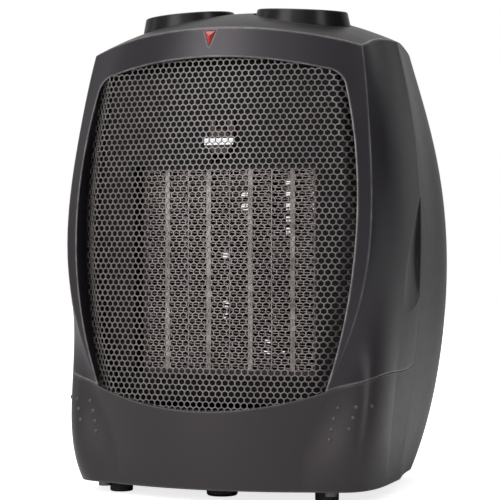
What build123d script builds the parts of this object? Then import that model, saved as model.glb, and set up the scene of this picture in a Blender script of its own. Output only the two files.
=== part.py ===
"""Ceramic tabletop heater: moulded case, hex-mesh front, PTC element, axial fan, two dials, tip-over switch.

Millimetres. X to the right, Y to the back, Z up. The origin is the middle of the footprint, on the surface
that the feet stand on. The case is one lofted form, cut into its mouldings along the real parting lines.
"""
from build123d import *
from collections import namedtuple
from math import atan, ceil, cos, radians, sin, sqrt, tan
import os

# ---------------------------------------------------------------- case form
# One level outline of the case. face_*: the gently bowed front up to its edge crease; turn: heading of the
# flank as it leaves the crease (0 runs across, 90 runs straight back); flank and swell: two points of the
# flank; seam_half: half width at the parting plane; rear_half and rear: widest rear point and the back.
Outline = namedtuple("Outline", "z face_half face_edge face_mid turn flank swell seam_half rear_half rear")

OUTLINES = [
    Outline(6.0, 49.4, -67.5, -76.3, 24, (75.0, -56.5), (80.5, -26.0), 78.5, 71.5, 72.0),
    Outline(56.5, 63.0, -64.9, -77.9, 33, (81.6, -55.6), (85.6, -27.0), 85.0, 83.9, 77.0),
    Outline(107.0, 80.6, -61.1, -77.8, 60, (83.4, -54.5), (88.2, -26.0), 89.6, 89.0, 77.9),
    Outline(144.0, 83.6, -57.0, -76.6, 74, (85.2, -49.5), (89.2, -25.0), 90.2, 88.5, 77.2),
    Outline(202.0, 78.4, -48.1, -70.3, 78, (80.2, -40.5), (83.4, -20.0), 84.4, 79.2, 72.5),
    Outline(256.0, 65.2, -38.3, -59.5, 78, (67.0, -30.5), (69.8, -14.0), 70.6, 66.6, 63.0),
]
SEAM_Y = 4.0            # parting plane between the front mouldings and the rear one
REAR_WIDEST_Y = 38.0    # where the rear moulding is at its widest
REAR_CORNER_IN = 18.0   # the back turns into the sides this far in from the widest point
REAR_BOW = 3.0          # the back's bow between its corners
REAR_TURN = 0.09        # slope of the back where it leaves its corner
WALL = 2.5              # moulded wall
PART_GAP = 0.3          # gap left at every parting line
SEAT_GAP = 0.3          # clearance of a piece seated in another

SCOOP_R = 90.0          # hollow ground into each flank of the housing, along a falling line
SCOOP_Y = -5.0
SCOOP_Z = 111.0
SCOOP_FALL = 55.5       # degrees below the level, towards the front
SCOOP_DEPTH = 1.5
SCOOP_FACE_X = 89.6     # the flank's half width at the middle of the hollow

# ---------------------------------------------------------------- crown
CROWN_TOP = 251.6
CROWN_Y = 5.0           # the crown is highest here
CROWN_ACROSS_R = 180.0
CROWN_ALONG_R = 176.0
CROWN_REACH = 100.0     # half width of the surface that shapes it
COVER_LEDGE = 1.2       # rim of the housing that stands round the top cover
DECK_HALF = 61.0        # the cover reaches back past the parting plane behind the dials
DECK_REAR_Y = 12.5
DECK_LOW_Z = 206.0      # the reach is open from here upwards

# ---------------------------------------------------------------- air outlet
OUTLET_FOOT_HALF = 62.2
OUTLET_FOOT_Z = 56.0
OUTLET_WIDE_HALF = 76.7
OUTLET_WIDE_Z = 134.0
OUTLET_SHOULDER_HALF = 68.2
OUTLET_SHOULDER_Z = 208.0
OUTLET_ARCH_HALF = 58.7
OUTLET_ARCH_Z = 216.0
OUTLET_TOP_Z = 222.8
OUTLET_SILL_Z = 45.5    # lowest point of the sill, at the middle
SILL_SIDE_Z = 66.9      # the base line climbs to here at the parting plane
SILL_RISE = [(-58.0, 60.2), (-25.0, 64.0)]     # (Y, Z) of the base line on its way up the flank
OUTLET_LIP = 2.0        # return lip round the outlet, back to the mesh
MESH_FACE_Y = -68.0     # front of the mesh in the middle, level with the outlet's widest point
MESH_BOW_R = 160.0
MESH_LEAN = 3.6         # degrees back from upright
MESH_SHEET = 0.8
MESH_LAP = 3.4          # how far the mesh reaches behind the bezel
MESH_PITCH = 10.8
MESH_WEB = 1.8
MESH_MARGIN = 6.7       # centres of the holes stay this far inside the outlet
RETAINER = 2.0          # thickness of the ring that holds the mesh
RETAINER_EAR = 3.0
RETAINER_CLEAR = 1.0    # room behind the ring
MESH_ROOM_Y = -38.0     # mesh, lip and ring all end in front of this
FRONT_DEPTH = 50.0      # depth of the tools that cut the front wall

# ---------------------------------------------------------------- heating element
ELEMENT_Z = 115.5
ELEMENT_HEIGHT = 103.8
ELEMENT_FACE_Y = -38.5
ELEMENT_DEPTH = 16.0
MODULES = 4
MODULE_PITCH = 23.3
STRIP_WIDTH = 2.6
FIN_SHEET = 0.5
FIN_FOLDS = 18
FRAME_RAIL = 2.0
FRAME_END = 6.0
TAB_WIDTH = 6.3
TAB_SHEET = 0.8
TAB_LENGTH = 14.0
TAB_IN = 5.0            # the element's tabs stand this far in from its back
WINDOW_MARGIN = 2.0     # the baffle's window is this much larger than the element's frame or fins
BAFFLE_FACE_Y = -46.5
BAFFLE_SHEET = 1.5
BAFFLE_LOW_Z = 48.0
CUTOUT_Z = 181.0        # thermal cut-out, on the baffle above its window
CUTOUT_R = 6.5
CUTOUT_HEIGHT = 5.0
CUTOUT_TAB_WIDTH = 3.2
CUTOUT_TAB_RISE = 5.0
CLIP_HALF = 8.0
CLIP_HALF_HEIGHT = 1.7
CLIP_SHEET = 0.8
NOTCH_HALF = 6.5        # notch of the window under the cut-out
NOTCH_TOP_Z = 174.5
BAFFLE_HIGH_Z = 233.0

# ---------------------------------------------------------------- fan
DUCT_WALL = 2.0
DUCT_PLATE_Y = 6.0
DUCT_PLATE_RIM = 2.0    # the plate is this much wider than the tunnel
DUCT_PLATE_RISE = 12.0  # and this much taller than the element
FAN_TUNNEL_R = 53.0
FAN_TUNNEL_END_Y = 38.0
FAN_TIP_R = 51.0
FAN_HUB_R = 16.0
FAN_FRONT_Y = 14.0
FAN_DEPTH = 18.0
FAN_CAP = 3.0           # closed front of the hub, before the shaft
FAN_BLADES = 7
FAN_BLADE_SHEET = 1.8
FAN_BLADE_PITCH = 38.0  # degrees out of the plane of rotation
MOTOR_R = 18.0
MOTOR_LENGTH = 24.0
MOTOR_SHAFT_R = 2.0
MOTOR_EDGE = 2.0
RUN_FIT = 0.05          # radial clearance of a turning shaft
SPIDER_SHEET = 2.0
SPIDER_ARMS = 4
SPIDER_ARM_WIDTH = 9.0
SPIDER_LIP = 1.0        # the spider's ring stands into the tunnel
SPIDER_ROOT = 2.0       # an arm starts this deep in the motor's seat

# ---------------------------------------------------------------- dials
DIAL_X = 32.0
DIAL_Y = -16.0
DIAL_TOP_Z = 250.3      # middle of the dial's top face
DIAL_LEAN_OUT = 3.65    # degrees
DIAL_LEAN_FORWARD = 3.4
DIAL_TOP_R = 23.4
DIAL_SKIRT_R = 25.3
DIAL_TAPER_HEIGHT = 7.0
DIAL_HEIGHT = 11.0
DIAL_EDGE = 1.0
DIAL_GRIP_WIDTH = 9.0
DIAL_DISH_R = 20.0
DIAL_DISH_DEPTH = 1.6
DIAL_WEB = 2.0          # plastic between the dish and the shaft
WELL_GAP = 0.6
WELL_WALL = 1.8
SHAFT_R = 3.0
SHAFT_LENGTH = 22.0
BUSH_R = 4.6
NUT_ACROSS = 13.0
NUT_HEIGHT = 2.0
NUT_ROOM = 2.0          # hollow of the dial round the nut
CONTROL_WIDTH = 30.0
CONTROL_DEPTH = 26.0
CONTROL_HEIGHT = 15.0

# ---------------------------------------------------------------- pilot light
PILOT_TOP_Z = 236.2
PILOT_TIP_Z = 228.4
PILOT_WIDTH = 5.8
PILOT_DEPTH = 7.0
PILOT_FIT = 0.15
LAMP_R = 2.4
LAMP_LENGTH = 9.0
LAMP_DROP = 1.0         # the lamp sits lower than the middle of the lens
LAMP_HOLDER_WIDTH = 9.6
LAMP_HOLDER_DEPTH = 9.0

# ---------------------------------------------------------------- floor, feet and tip-over switch
FLOOR_Z = OUTLINES[0].z
FLOOR_SHEET = 2.5
FOOT_R = 6.0
FOOT_X = 57.0
FOOT_FRONT_Y = -48.0
FOOT_REAR_X = 48.0
FOOT_REAR_Y = 46.0
FOOT_EDGE = 1.0
PEG_R = 2.5
PEG_TOP = 1.5           # the peg ends this far over the floor plate
PLUNGER_R = 8.0
PLUNGER_Y = -48.0
PLUNGER_CLEAR = 0.2     # the pressed plunger stays this far above the floor line
PLUNGER_TRAVEL = 6.0
PLUNGER_COLLAR_R = 9.6
PLUNGER_COLLAR = 2.0
PLUNGER_EDGE = 1.5
STEM_R = 3.0
STEM_TOP_Z = 36.0
GUIDE_BORE_R = 10.0
GUIDE_WALL = 2.0
GUIDE_TOP_Z = 30.0
GUIDE_FLANGE_R = 17.0
SPRING_R = 6.5
SPRING_WIRE_R = 0.5
SPRING_TURNS = 5
SWITCH_WIDTH = 21.0
SWITCH_DEPTH = 12.0
SWITCH_LOW_Z = 20.0
SWITCH_HEIGHT = 14.5
SWITCH_EAR_HALF = 2.5   # ears that carry the lever's pin
SWITCH_EAR_SHEET = 1.5
SHELF_RIM = 1.0         # the switch's shelf is this much larger all round
GUSSET_SHEET = 2.0
LEVER_PIVOT_X = 16.0
LEVER_PIVOT_Z = 38.0
LEVER_PIN_R = 1.0
LEVER_HUB_R = 2.2
LEVER_SHEET = 1.5
LEVER_WIDTH = 6.0
LEVER_OVERHANG = 3.2

# ---------------------------------------------------------------- back of the case
BACK_CUT_Y = 58.0       # everything cut through the back is cut from here
INTAKE_R = 60.0
SLOT_PITCH = 7.0
SLOT_HEIGHT = 3.6
SLOT_RIB = 6.0          # width of the upright rib between the two halves of a row
GRIP_Z = 206.0
GRIP_WIDTH = 84.0
GRIP_HEIGHT = 27.0
GRIP_DEPTH = 28.0
GRIP_WALL = 2.0
GRIP_CORNER = 8.0
GRIP_FLANGE = 4.0       # rim of the cup that bears on the inside of the back
GRIP_FLANGE_DEPTH = 6.0
GLAND_X = 44.0
GLAND_Z = 26.0
GLAND_R = 7.0
GLAND_BORE_R = 3.6
GLAND_FLANGE_R = 9.5
GLAND_LIP = 2.2
BLOCK_X = 16.0          # mains terminal block, on the floor inside
BLOCK_Y = 40.0
BLOCK_WIDTH = 34.0
BLOCK_DEPTH = 16.0
BLOCK_HEIGHT = 13.0
BLOCK_WAYS = 3
BLOCK_WIRE_R = 2.0
BLOCK_SCREW_R = 2.5
BLOCK_SCREW_DEPTH = 4.0

# ---------------------------------------------------------------- screws
SCREW_R = 1.9
SCREW_HEAD_R = 3.5
SCREW_HEAD = 2.4
BOSS_R = 4.6
BOSS_RIB = 2.0          # rib that ties a boss to the side wall
BOSS_SPARE = 6.0        # depth of a front boss beyond its screw's tip
CASE_SCREW_SEAT_Y = 12.0
CASE_SCREW_LENGTH = 24.0
CASE_SCREW_LOW = (70.0, 30.0)
CASE_SCREW_HIGH = (60.0, 222.0)
BAFFLE_SCREW_LOW = (77.5, 80.0)
BAFFLE_SCREW_HIGH = (30.0, 229.5)
BAFFLE_SCREW_LENGTH = 9.0
FLOOR_SCREW_FRONT = (62.0, -57.0)
FLOOR_SCREW_REAR = (61.0, 59.0)
FLOOR_SCREW_LENGTH = 12.0
FLOOR_BOSS_TOP_Z = 20.0
FLOOR_HOLE_STOP = 2.0   # the hole ends this far under the boss's top

FAR = 100.0             # beyond every side of the case, for the tools that cut it
OVER = 1.0              # a cutting tool runs past the face that it cuts
MIRRORED = (-1, 1)


# ================================================================ helpers
def rod_y(x, z, radius, y_low, y_high):
    """Round bar along Y."""
    return Pos(x, y_low, z) * Rot(-90, 0, 0) * Cylinder(
        radius, y_high - y_low, align=(Align.CENTER, Align.CENTER, Align.MIN)
    )


def rod_z(x, y, radius, z_low, z_high):
    """Upright round bar."""
    return Pos(x, y, z_low) * Cylinder(
        radius, z_high - z_low, align=(Align.CENTER, Align.CENTER, Align.MIN)
    )


def block(x_low, x_high, y_low, y_high, z_low, z_high):
    """Box between two corners."""
    size = (x_high - x_low, y_high - y_low, z_high - z_low)
    return Pos(x_low, y_low, z_low) * Box(*size, align=(Align.MIN, Align.MIN, Align.MIN))


def along_y(face_xz, y_low, y_high):
    """Extrude a face drawn with its own X and Z (as x, y) from y_low to y_high."""
    frame = Plane(origin=(0, y_low, 0), x_dir=(1, 0, 0), z_dir=(0, -1, 0))
    return extrude(frame.location * face_xz, amount=-(y_high - y_low))


def merged(first, *others):
    """Fuse pieces into one moulding."""
    whole = first
    for other in others:
        whole = whole + other
    return whole


# ================================================================ case form
def outline_face(o, inset):
    """Level outline of the case, moved inwards by inset."""
    bow = 2 * atan((o.face_edge - o.face_mid) / o.face_half)
    heading = radians(o.turn)
    n_front = (sin(bow), -cos(bow))
    n_flank = (sin(heading), -cos(heading))
    det = n_front[0] * n_flank[1] - n_front[1] * n_flank[0]
    shift_x = (n_flank[1] - n_front[1]) / det
    shift_y = (n_front[0] - n_flank[0]) / det
    crease = (o.face_half - shift_x * inset, o.face_edge - shift_y * inset)
    run_x = o.swell[0] - o.face_half
    run_y = o.swell[1] - o.face_edge
    run = sqrt(run_x**2 + run_y**2)
    flank = (o.flank[0] - run_y / run * inset, o.flank[1] + run_x / run * inset)
    swell = (o.swell[0] - inset, o.swell[1])
    seam = (o.seam_half - inset, SEAM_Y)
    widest = (o.rear_half - inset, REAR_WIDEST_Y)
    corner = (o.rear_half - REAR_CORNER_IN - inset / 2, o.rear - REAR_BOW - inset)
    lead = ((seam[0] - swell[0]) / (SEAM_Y - swell[1]), 1)

    def at(point, side=1):
        return Vector(side * point[0], point[1], o.z)

    def flank_edge(side):
        points = [at(crease, side), at(flank, side), at(swell, side), at(seam, side)]
        ends = [Vector(side * cos(heading), sin(heading)), Vector(side * lead[0], lead[1])]
        return Spline(*points, tangents=ends)

    def rear_edge(side):
        points = [at(seam, side), at(widest, side), at(corner, side)]
        ends = [Vector(side * (widest[0] - seam[0]), widest[1] - seam[1]), Vector(-side, REAR_TURN)]
        return Spline(*points, tangents=ends)

    front = ThreePointArc(at(crease, -1), at((0, o.face_mid + inset)), at(crease))
    back = ThreePointArc(at(corner), at((0, o.rear - inset)), at(corner, -1))
    return Face(Wire([front, flank_edge(1), rear_edge(1), back, rear_edge(-1), flank_edge(-1)]))


def above_crown(inset):
    """Everything over the crown's double-curved surface, lowered by inset."""
    axis_z = CROWN_TOP - CROWN_ALONG_R
    radius = CROWN_ACROSS_R - inset
    top = CROWN_TOP - inset
    drop = radius - sqrt(radius**2 - CROWN_REACH**2)
    left = (-CROWN_REACH, top - drop)
    right = (CROWN_REACH, top - drop)
    arch = ThreePointArc(left, (0, top), right)
    rest = Polyline(right, (CROWN_REACH, axis_z), (-CROWN_REACH, axis_z), left)
    frame = Plane(origin=(0, CROWN_Y, 0), x_dir=(1, 0, 0), z_dir=(0, -1, 0))
    barrel = revolve(frame.location * make_face([arch, rest]), Axis((0, CROWN_Y, axis_z), (1, 0, 0)))
    slab_low = axis_z + CROWN_ALONG_R / 4
    return block(-CROWN_REACH, CROWN_REACH, -FAR, FAR, slab_low, CROWN_TOP + FAR) - barrel


def case_form(inset, crown_inset=None):
    """The closed form of the case, moved inwards by inset, and under the crown by its own inset."""
    body = loft([outline_face(o, inset) for o in OUTLINES])
    return body - above_crown(inset if crown_inset is None else crown_inset)


def outlet_face(grow=0.0):
    """Outline of the air outlet in front view, grown or shrunk by an offset."""
    foot = (OUTLET_FOOT_HALF, OUTLET_FOOT_Z)
    wide = (OUTLET_WIDE_HALF, OUTLET_WIDE_Z)
    shoulder = (OUTLET_SHOULDER_HALF, OUTLET_SHOULDER_Z)
    arch = (OUTLET_ARCH_HALF, OUTLET_ARCH_Z)
    side = ThreePointArc(foot, wide, shoulder)
    corner = TangentArc(shoulder, arch, tangent=side % 1)
    top = ThreePointArc(arch, (0, OUTLET_TOP_Z), (-arch[0], arch[1]))
    sill = ThreePointArc((-foot[0], foot[1]), (0, OUTLET_SILL_Z), foot)
    edges = [side, corner, top, mirror(corner, Plane.YZ), mirror(side, Plane.YZ), sill]
    face = make_face(edges)
    if grow:
        face = offset(face, grow, kind=Kind.INTERSECTION)
    return face


def base_zone(lower=0.0):
    """Space of the base moulding: under the sill in front, under the climbing line on the flanks."""
    front_z = OUTLET_FOOT_Z - lower
    side_z = SILL_SIDE_Z - lower
    front_y = OUTLINES[1].face_edge
    climb = [(y, z - lower) for y, z in SILL_RISE]
    rise = Spline((front_y, front_z), *climb, (SEAM_Y, side_z))
    rest = Polyline((SEAM_Y, side_z), (SEAM_Y, -OVER), (-FAR, -OVER), (-FAR, front_z), (front_y, front_z))
    side_view = Plane.YZ.location * make_face([rise, rest])
    zone = extrude(side_view, amount=FAR, both=True)
    sill = ThreePointArc(
        (-OUTLET_FOOT_HALF, front_z), (0, OUTLET_SILL_Z - lower), (OUTLET_FOOT_HALF, front_z)
    )
    lid = Polyline(
        (OUTLET_FOOT_HALF, front_z),
        (OUTLET_FOOT_HALF, side_z + OVER),
        (-OUTLET_FOOT_HALF, side_z + OVER),
        (-OUTLET_FOOT_HALF, front_z),
    )
    return zone - along_y(make_face([sill, lid]), -FAR, SEAM_Y - FRONT_DEPTH / 2)


OUTER = case_form(0)
INNER = case_form(WALL)
SHELL = OUTER - INNER
FRONT_SPACE = block(-FAR, FAR, -FAR, SEAM_Y - PART_GAP / 2, -OVER, CROWN_TOP + OVER)
REAR_SPACE = block(-FAR, FAR, SEAM_Y + PART_GAP / 2, FAR, -OVER, CROWN_TOP + OVER)


def on_sides(positions):
    """The given places on the right and their mirror images on the left."""
    return [(side * p[0], p[1]) for p in positions for side in MIRRORED]


CASE_SCREWS = on_sides([CASE_SCREW_LOW, CASE_SCREW_HIGH])
BAFFLE_SCREWS = on_sides([BAFFLE_SCREW_LOW, BAFFLE_SCREW_HIGH])
FLOOR_SCREWS = on_sides([FLOOR_SCREW_FRONT, FLOOR_SCREW_REAR])
FEET = on_sides([(FOOT_X, FOOT_FRONT_Y), (FOOT_REAR_X, FOOT_REAR_Y)])


# ================================================================ case mouldings
def case_bosses(positions, y_low, y_high):
    """Screw bosses along Y that grow out of the case wall."""
    bosses = [rod_y(x, z, BOSS_R, y_low, y_high) for x, z in positions]
    return merged(*bosses) & OUTER


def boss_ribs(positions, y_low, y_high):
    """Level ribs from bosses out to the side walls."""
    ribs = []
    for x, z in positions:
        low, high = sorted((x, 2 * x))
        ribs.append(block(low, high, y_low, y_high, z - BOSS_RIB / 2, z + BOSS_RIB / 2))
    return merged(*ribs) & OUTER


def pilot_holes(positions, y_low, y_high):
    """Holes that the screws cut their thread in."""
    return merged(*[rod_y(x, z, SCREW_R + RUN_FIT, y_low, y_high) for x, z in positions])


CASE_SCREW_TIP_Y = CASE_SCREW_SEAT_Y - CASE_SCREW_LENGTH
FRONT_BOSS_Y = CASE_SCREW_TIP_Y - BOSS_SPARE
BAFFLE_BACK_Y = BAFFLE_FACE_Y + BAFFLE_SHEET
BAFFLE_TIP_Y = BAFFLE_BACK_Y - BAFFLE_SCREW_LENGTH


def scoops():
    """Long round tools that hollow both flanks."""
    tools = []
    for side in MIRRORED:
        x = side * (SCOOP_FACE_X + SCOOP_R - SCOOP_DEPTH)
        tools.append(Pos(x, SCOOP_Y, SCOOP_Z) * Rot(SCOOP_FALL - 90, 0, 0) * Cylinder(SCOOP_R, 2 * FAR))
    return merged(*tools)


def front_housing():
    """Bezel and both flanks above the base line."""
    wall = (SHELL & FRONT_SPACE) - scoops()
    wall = wall - base_zone() - (case_form(COVER_LEDGE, 0) & above_crown(WALL + PART_GAP))
    wall = wall - along_y(outlet_face(), -FAR, SEAM_Y - FRONT_DEPTH)
    wall = wall + (outlet_lip() - base_zone())
    upper = FRONT_SPACE - above_crown(WALL + PART_GAP)
    high = on_sides([CASE_SCREW_HIGH])
    case_boss = case_bosses(high, FRONT_BOSS_Y, SEAM_Y) + boss_ribs(high, FRONT_BOSS_Y, SEAM_Y)
    case_boss = case_boss & upper
    baffle_boss = case_bosses(BAFFLE_SCREWS, -FAR, BAFFLE_FACE_Y) & upper
    housing = wall + case_boss + baffle_boss
    housing = housing - pilot_holes(high, CASE_SCREW_TIP_Y - OVER, SEAM_Y)
    housing = housing - pilot_holes(BAFFLE_SCREWS, BAFFLE_TIP_Y - OVER, BAFFLE_FACE_Y)
    return housing - pilot_prism(PILOT_FIT, -FAR, 0)


def floor_bosses(positions):
    """Bosses over the floor screws, each with a rib out to the front or back wall, and their holes."""
    bosses = []
    holes = []
    for x, y in positions:
        bosses.append(rod_z(x, y, BOSS_R, FLOOR_TOP_Z, FLOOR_BOSS_TOP_Z))
        low, high = sorted((y, 2 * y))
        bosses.append(block(x - BOSS_RIB / 2, x + BOSS_RIB / 2, low, high, FLOOR_TOP_Z, FLOOR_BOSS_TOP_Z))
        holes.append(rod_z(x, y, SCREW_R + RUN_FIT, FLOOR_Z, FLOOR_BOSS_TOP_Z - FLOOR_HOLE_STOP))
    return merged(*bosses) & OUTER, merged(*holes)


def base_shell():
    """Front and flanks of the case below the base line."""
    wall = SHELL & FRONT_SPACE & base_zone(PART_GAP)
    wall = wall + (outlet_lip() & base_zone(PART_GAP))
    low = on_sides([CASE_SCREW_LOW])
    case_boss = case_bosses(low, FRONT_BOSS_Y, SEAM_Y) + boss_ribs(low, FRONT_BOSS_Y, SEAM_Y)
    case_boss = case_boss & FRONT_SPACE
    bosses, holes = floor_bosses(on_sides([FLOOR_SCREW_FRONT]))
    shell = wall + case_boss + bosses - holes
    return shell - pilot_holes(low, CASE_SCREW_TIP_Y - OVER, SEAM_Y)


def grip_face(grow=0.0):
    """Mouth of the carrying grip in rear view."""
    width = GRIP_WIDTH + 2 * grow
    height = GRIP_HEIGHT + 2 * grow
    return Pos(0, GRIP_Z) * RectangleRounded(width, height, GRIP_CORNER + grow)


def intake_slots():
    """Rows of slots that fill a circle behind the fan."""
    rows = int(INTAKE_R / SLOT_PITCH)
    slots = []
    for row in range(-rows, rows + 1):
        rise = row * SLOT_PITCH
        reach = sqrt(INTAKE_R**2 - rise**2)
        length = reach - SLOT_RIB / 2
        if length < 2 * SLOT_HEIGHT:
            continue
        for side in MIRRORED:
            middle = side * (SLOT_RIB / 2 + length / 2)
            slots.append(Pos(middle, ELEMENT_Z + rise) * SlotOverall(length, SLOT_HEIGHT))
    return Sketch() + slots


def rear_housing():
    """Back of the case, with the posts that its screws pass through."""
    form = OUTER & REAR_SPACE
    wall = form - INNER - cover_space(PART_GAP)
    room = REAR_SPACE - above_crown(WALL + PART_GAP)
    posts = case_bosses(CASE_SCREWS, SEAM_Y, FAR) & room
    bosses, holes = floor_bosses(on_sides([FLOOR_SCREW_REAR]))
    housing = wall + posts + (bosses & REAR_SPACE) - holes
    for x, z in CASE_SCREWS:
        housing = housing - rod_y(x, z, SCREW_R + SEAT_GAP, 0, CASE_SCREW_SEAT_Y)
        housing = housing - rod_y(x, z, SCREW_HEAD_R + SEAT_GAP, CASE_SCREW_SEAT_Y, FAR)
    housing = housing - along_y(intake_slots(), BACK_CUT_Y, FAR)
    housing = housing - along_y(grip_face(GRIP_WALL + SEAT_GAP), BACK_CUT_Y, FAR)
    return housing - rod_y(GLAND_X, GLAND_Z, GLAND_R + SEAT_GAP, BACK_CUT_Y, FAR)


def grip_cup():
    """Cup let into the back, for the fingers of the hand that carries the heater."""
    back = OUTLINES[4].rear
    cup = along_y(grip_face(GRIP_WALL), back - GRIP_DEPTH, FAR)
    flange_front = back - WALL - SEAT_GAP - GRIP_FLANGE_DEPTH
    flange = along_y(grip_face(GRIP_WALL + GRIP_FLANGE), flange_front, FAR) & case_form(WALL + SEAT_GAP)
    cup = (cup & OUTER) + flange
    return cup - along_y(grip_face(), back - GRIP_DEPTH + GRIP_WALL, FAR)


# ================================================================ crown and dials
def dial_frame(side):
    """Middle of a dial's top face; its Z is the dial's axis."""
    axis = Vector(side * tan(radians(DIAL_LEAN_OUT)), -tan(radians(DIAL_LEAN_FORWARD)), 1)
    return Plane(origin=(side * DIAL_X, DIAL_Y, DIAL_TOP_Z), x_dir=(1, 0, 0), z_dir=axis).location


def disc(radius, low, high):
    """Round disc on the local Z axis."""
    return Pos(0, 0, low) * Cylinder(radius, high - low, align=(Align.CENTER, Align.CENTER, Align.MIN))


WELL_R = DIAL_SKIRT_R + WELL_GAP
WELL_FLOOR = -DIAL_HEIGHT - WELL_GAP
WELL_UNDER = WELL_FLOOR - WELL_WALL
SHAFT_TOP = -DIAL_DISH_DEPTH - DIAL_WEB
SHAFT_END = SHAFT_TOP - SHAFT_LENGTH


def cover_space(grow):
    """Plan of the top cover: up to the parting plane, and further back behind the dials."""
    deck = block(-DECK_HALF - grow, DECK_HALF + grow, -FAR, DECK_REAR_Y + grow, DECK_LOW_Z, CROWN_TOP + FAR)
    return FRONT_SPACE + deck


def top_cover():
    """Crown with the wells that the dials turn in."""
    skin = case_form(COVER_LEDGE + PART_GAP, 0) & cover_space(0) & above_crown(WALL)
    room = case_form(WALL + PART_GAP, WALL / 2) & cover_space(0)
    for side in MIRRORED:
        cup = dial_frame(side) * disc(WELL_R + WELL_WALL, WELL_UNDER, 0)
        skin = skin + (cup & room)
    for side in MIRRORED:
        skin = skin - dial_frame(side) * disc(WELL_R, WELL_FLOOR, 2 * DIAL_HEIGHT)
        skin = skin - dial_frame(side) * disc(BUSH_R + RUN_FIT, WELL_UNDER - OVER, 0)
    return skin - pilot_prism(2 * SEAT_GAP, -FAR, PILOT_BACK_Y + SEAT_GAP)


def dial_knob(side):
    """Turned dial: straight skirt, tapering rim, dished top with a grip bar and a pointer notch."""
    taper_foot = -DIAL_TAPER_HEIGHT
    profile = Polyline(
        (0, -DIAL_HEIGHT),
        (DIAL_SKIRT_R, -DIAL_HEIGHT),
        (DIAL_SKIRT_R, taper_foot),
        (DIAL_TOP_R, 0),
        (0, 0),
        (0, -DIAL_HEIGHT),
    )
    knob = revolve(Plane.XZ.location * make_face(profile), Axis.Z)
    rim = knob.edges().filter_by(GeomType.CIRCLE).sort_by(Axis.Z)[-1]
    knob = fillet(rim, DIAL_EDGE)
    knob = knob - disc(DIAL_DISH_R, -DIAL_DISH_DEPTH, OVER)
    bar = Pos(0, 0, -DIAL_DISH_DEPTH) * Box(
        DIAL_GRIP_WIDTH, 2 * DIAL_DISH_R - WALL, DIAL_DISH_DEPTH,
        align=(Align.CENTER, Align.CENTER, Align.MIN),
    )
    knob = knob + bar
    nut_room = disc(NUT_ACROSS / 2 + NUT_ROOM, -DIAL_HEIGHT - OVER, -DIAL_HEIGHT + NUT_HEIGHT + OVER)
    knob = knob - nut_room - disc(SHAFT_R + RUN_FIT, -DIAL_HEIGHT, SHAFT_TOP)
    return dial_frame(side) * knob


def dial_shaft(side):
    return dial_frame(side) * disc(SHAFT_R, SHAFT_END, SHAFT_TOP)


def control_body(side):
    """Box of a control with its threaded bush, which passes through the floor of the dial's well."""
    body = Pos(0, 0, WELL_UNDER) * Box(
        CONTROL_WIDTH, CONTROL_DEPTH, CONTROL_HEIGHT, align=(Align.CENTER, Align.CENTER, Align.MAX)
    )
    bush_top = -DIAL_HEIGHT + NUT_HEIGHT
    body = body + disc(BUSH_R, WELL_UNDER, bush_top)
    body = body - disc(SHAFT_R + RUN_FIT, SHAFT_END - SEAT_GAP, 0)
    for x in (-1, 0, 1):
        tab = Pos(x * CONTROL_WIDTH / 3, 0, WELL_UNDER - CONTROL_HEIGHT) * Box(
            TAB_WIDTH, TAB_SHEET, TAB_LENGTH / 2, align=(Align.CENTER, Align.CENTER, Align.MAX)
        )
        body = body + tab
    return dial_frame(side) * body


def bush_nuts():
    """Nuts that clamp both controls in their wells."""
    nuts = []
    for side in MIRRORED:
        hexagon = extrude(RegularPolygon(NUT_ACROSS / 2, 6, major_radius=False), NUT_HEIGHT)
        nut = Pos(0, 0, WELL_FLOOR) * hexagon - disc(BUSH_R + RUN_FIT, WELL_FLOOR - OVER, 0)
        nuts.append(dial_frame(side) * nut)
    return Compound(children=nuts)


# ================================================================ pilot light
def pilot_prism(grow, y_low, y_high):
    """Three-cornered prism, point down, that the pilot lens fills."""
    slope = (PILOT_TOP_Z - PILOT_TIP_Z) / (PILOT_WIDTH / 2)
    reach = grow * (slope + sqrt(1 + slope**2)) / slope
    corner = PILOT_WIDTH / 2 + reach
    tip = PILOT_TIP_Z - grow * sqrt(1 + slope**2)
    top = PILOT_TOP_Z + grow
    face = make_face(Polyline((-corner, top), (corner, top), (0, tip), (-corner, top)))
    return along_y(face, y_low, y_high)


PILOT_BACK_Y = OUTLINES[4].face_mid + PILOT_DEPTH + WALL


def pilot_lens():
    return pilot_prism(0, -FAR, PILOT_BACK_Y) & OUTER


def lamp_z():
    return (PILOT_TOP_Z + PILOT_TIP_Z) / 2 - LAMP_DROP


def pilot_lamp():
    low = PILOT_BACK_Y + SEAT_GAP
    return rod_y(0, lamp_z(), LAMP_R, low, low + LAMP_LENGTH)


def lamp_holder():
    """Sleeve that holds the lamp behind the lens."""
    half = LAMP_HOLDER_WIDTH / 2
    centre = (PILOT_TOP_Z + PILOT_TIP_Z) / 2
    sleeve = block(-half, half, -FAR, PILOT_BACK_Y + LAMP_HOLDER_DEPTH, centre - half, centre + half)
    room = case_form(WALL + SEAT_GAP) - above_crown(WALL + PART_GAP + SEAT_GAP)
    sleeve = sleeve & room
    sleeve = sleeve - pilot_prism(PILOT_FIT, -FAR, PILOT_BACK_Y + SEAT_GAP)
    return sleeve - rod_y(0, lamp_z(), LAMP_R + RUN_FIT, PILOT_BACK_Y, FAR)


# ================================================================ outlet
def boss_room():
    """Space that the baffle's screw bosses need where they pass the mesh."""
    return merged(*[rod_y(x, z, BOSS_R + SEAT_GAP, -FAR, MESH_ROOM_Y) for x, z in BAFFLE_SCREWS])


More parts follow.
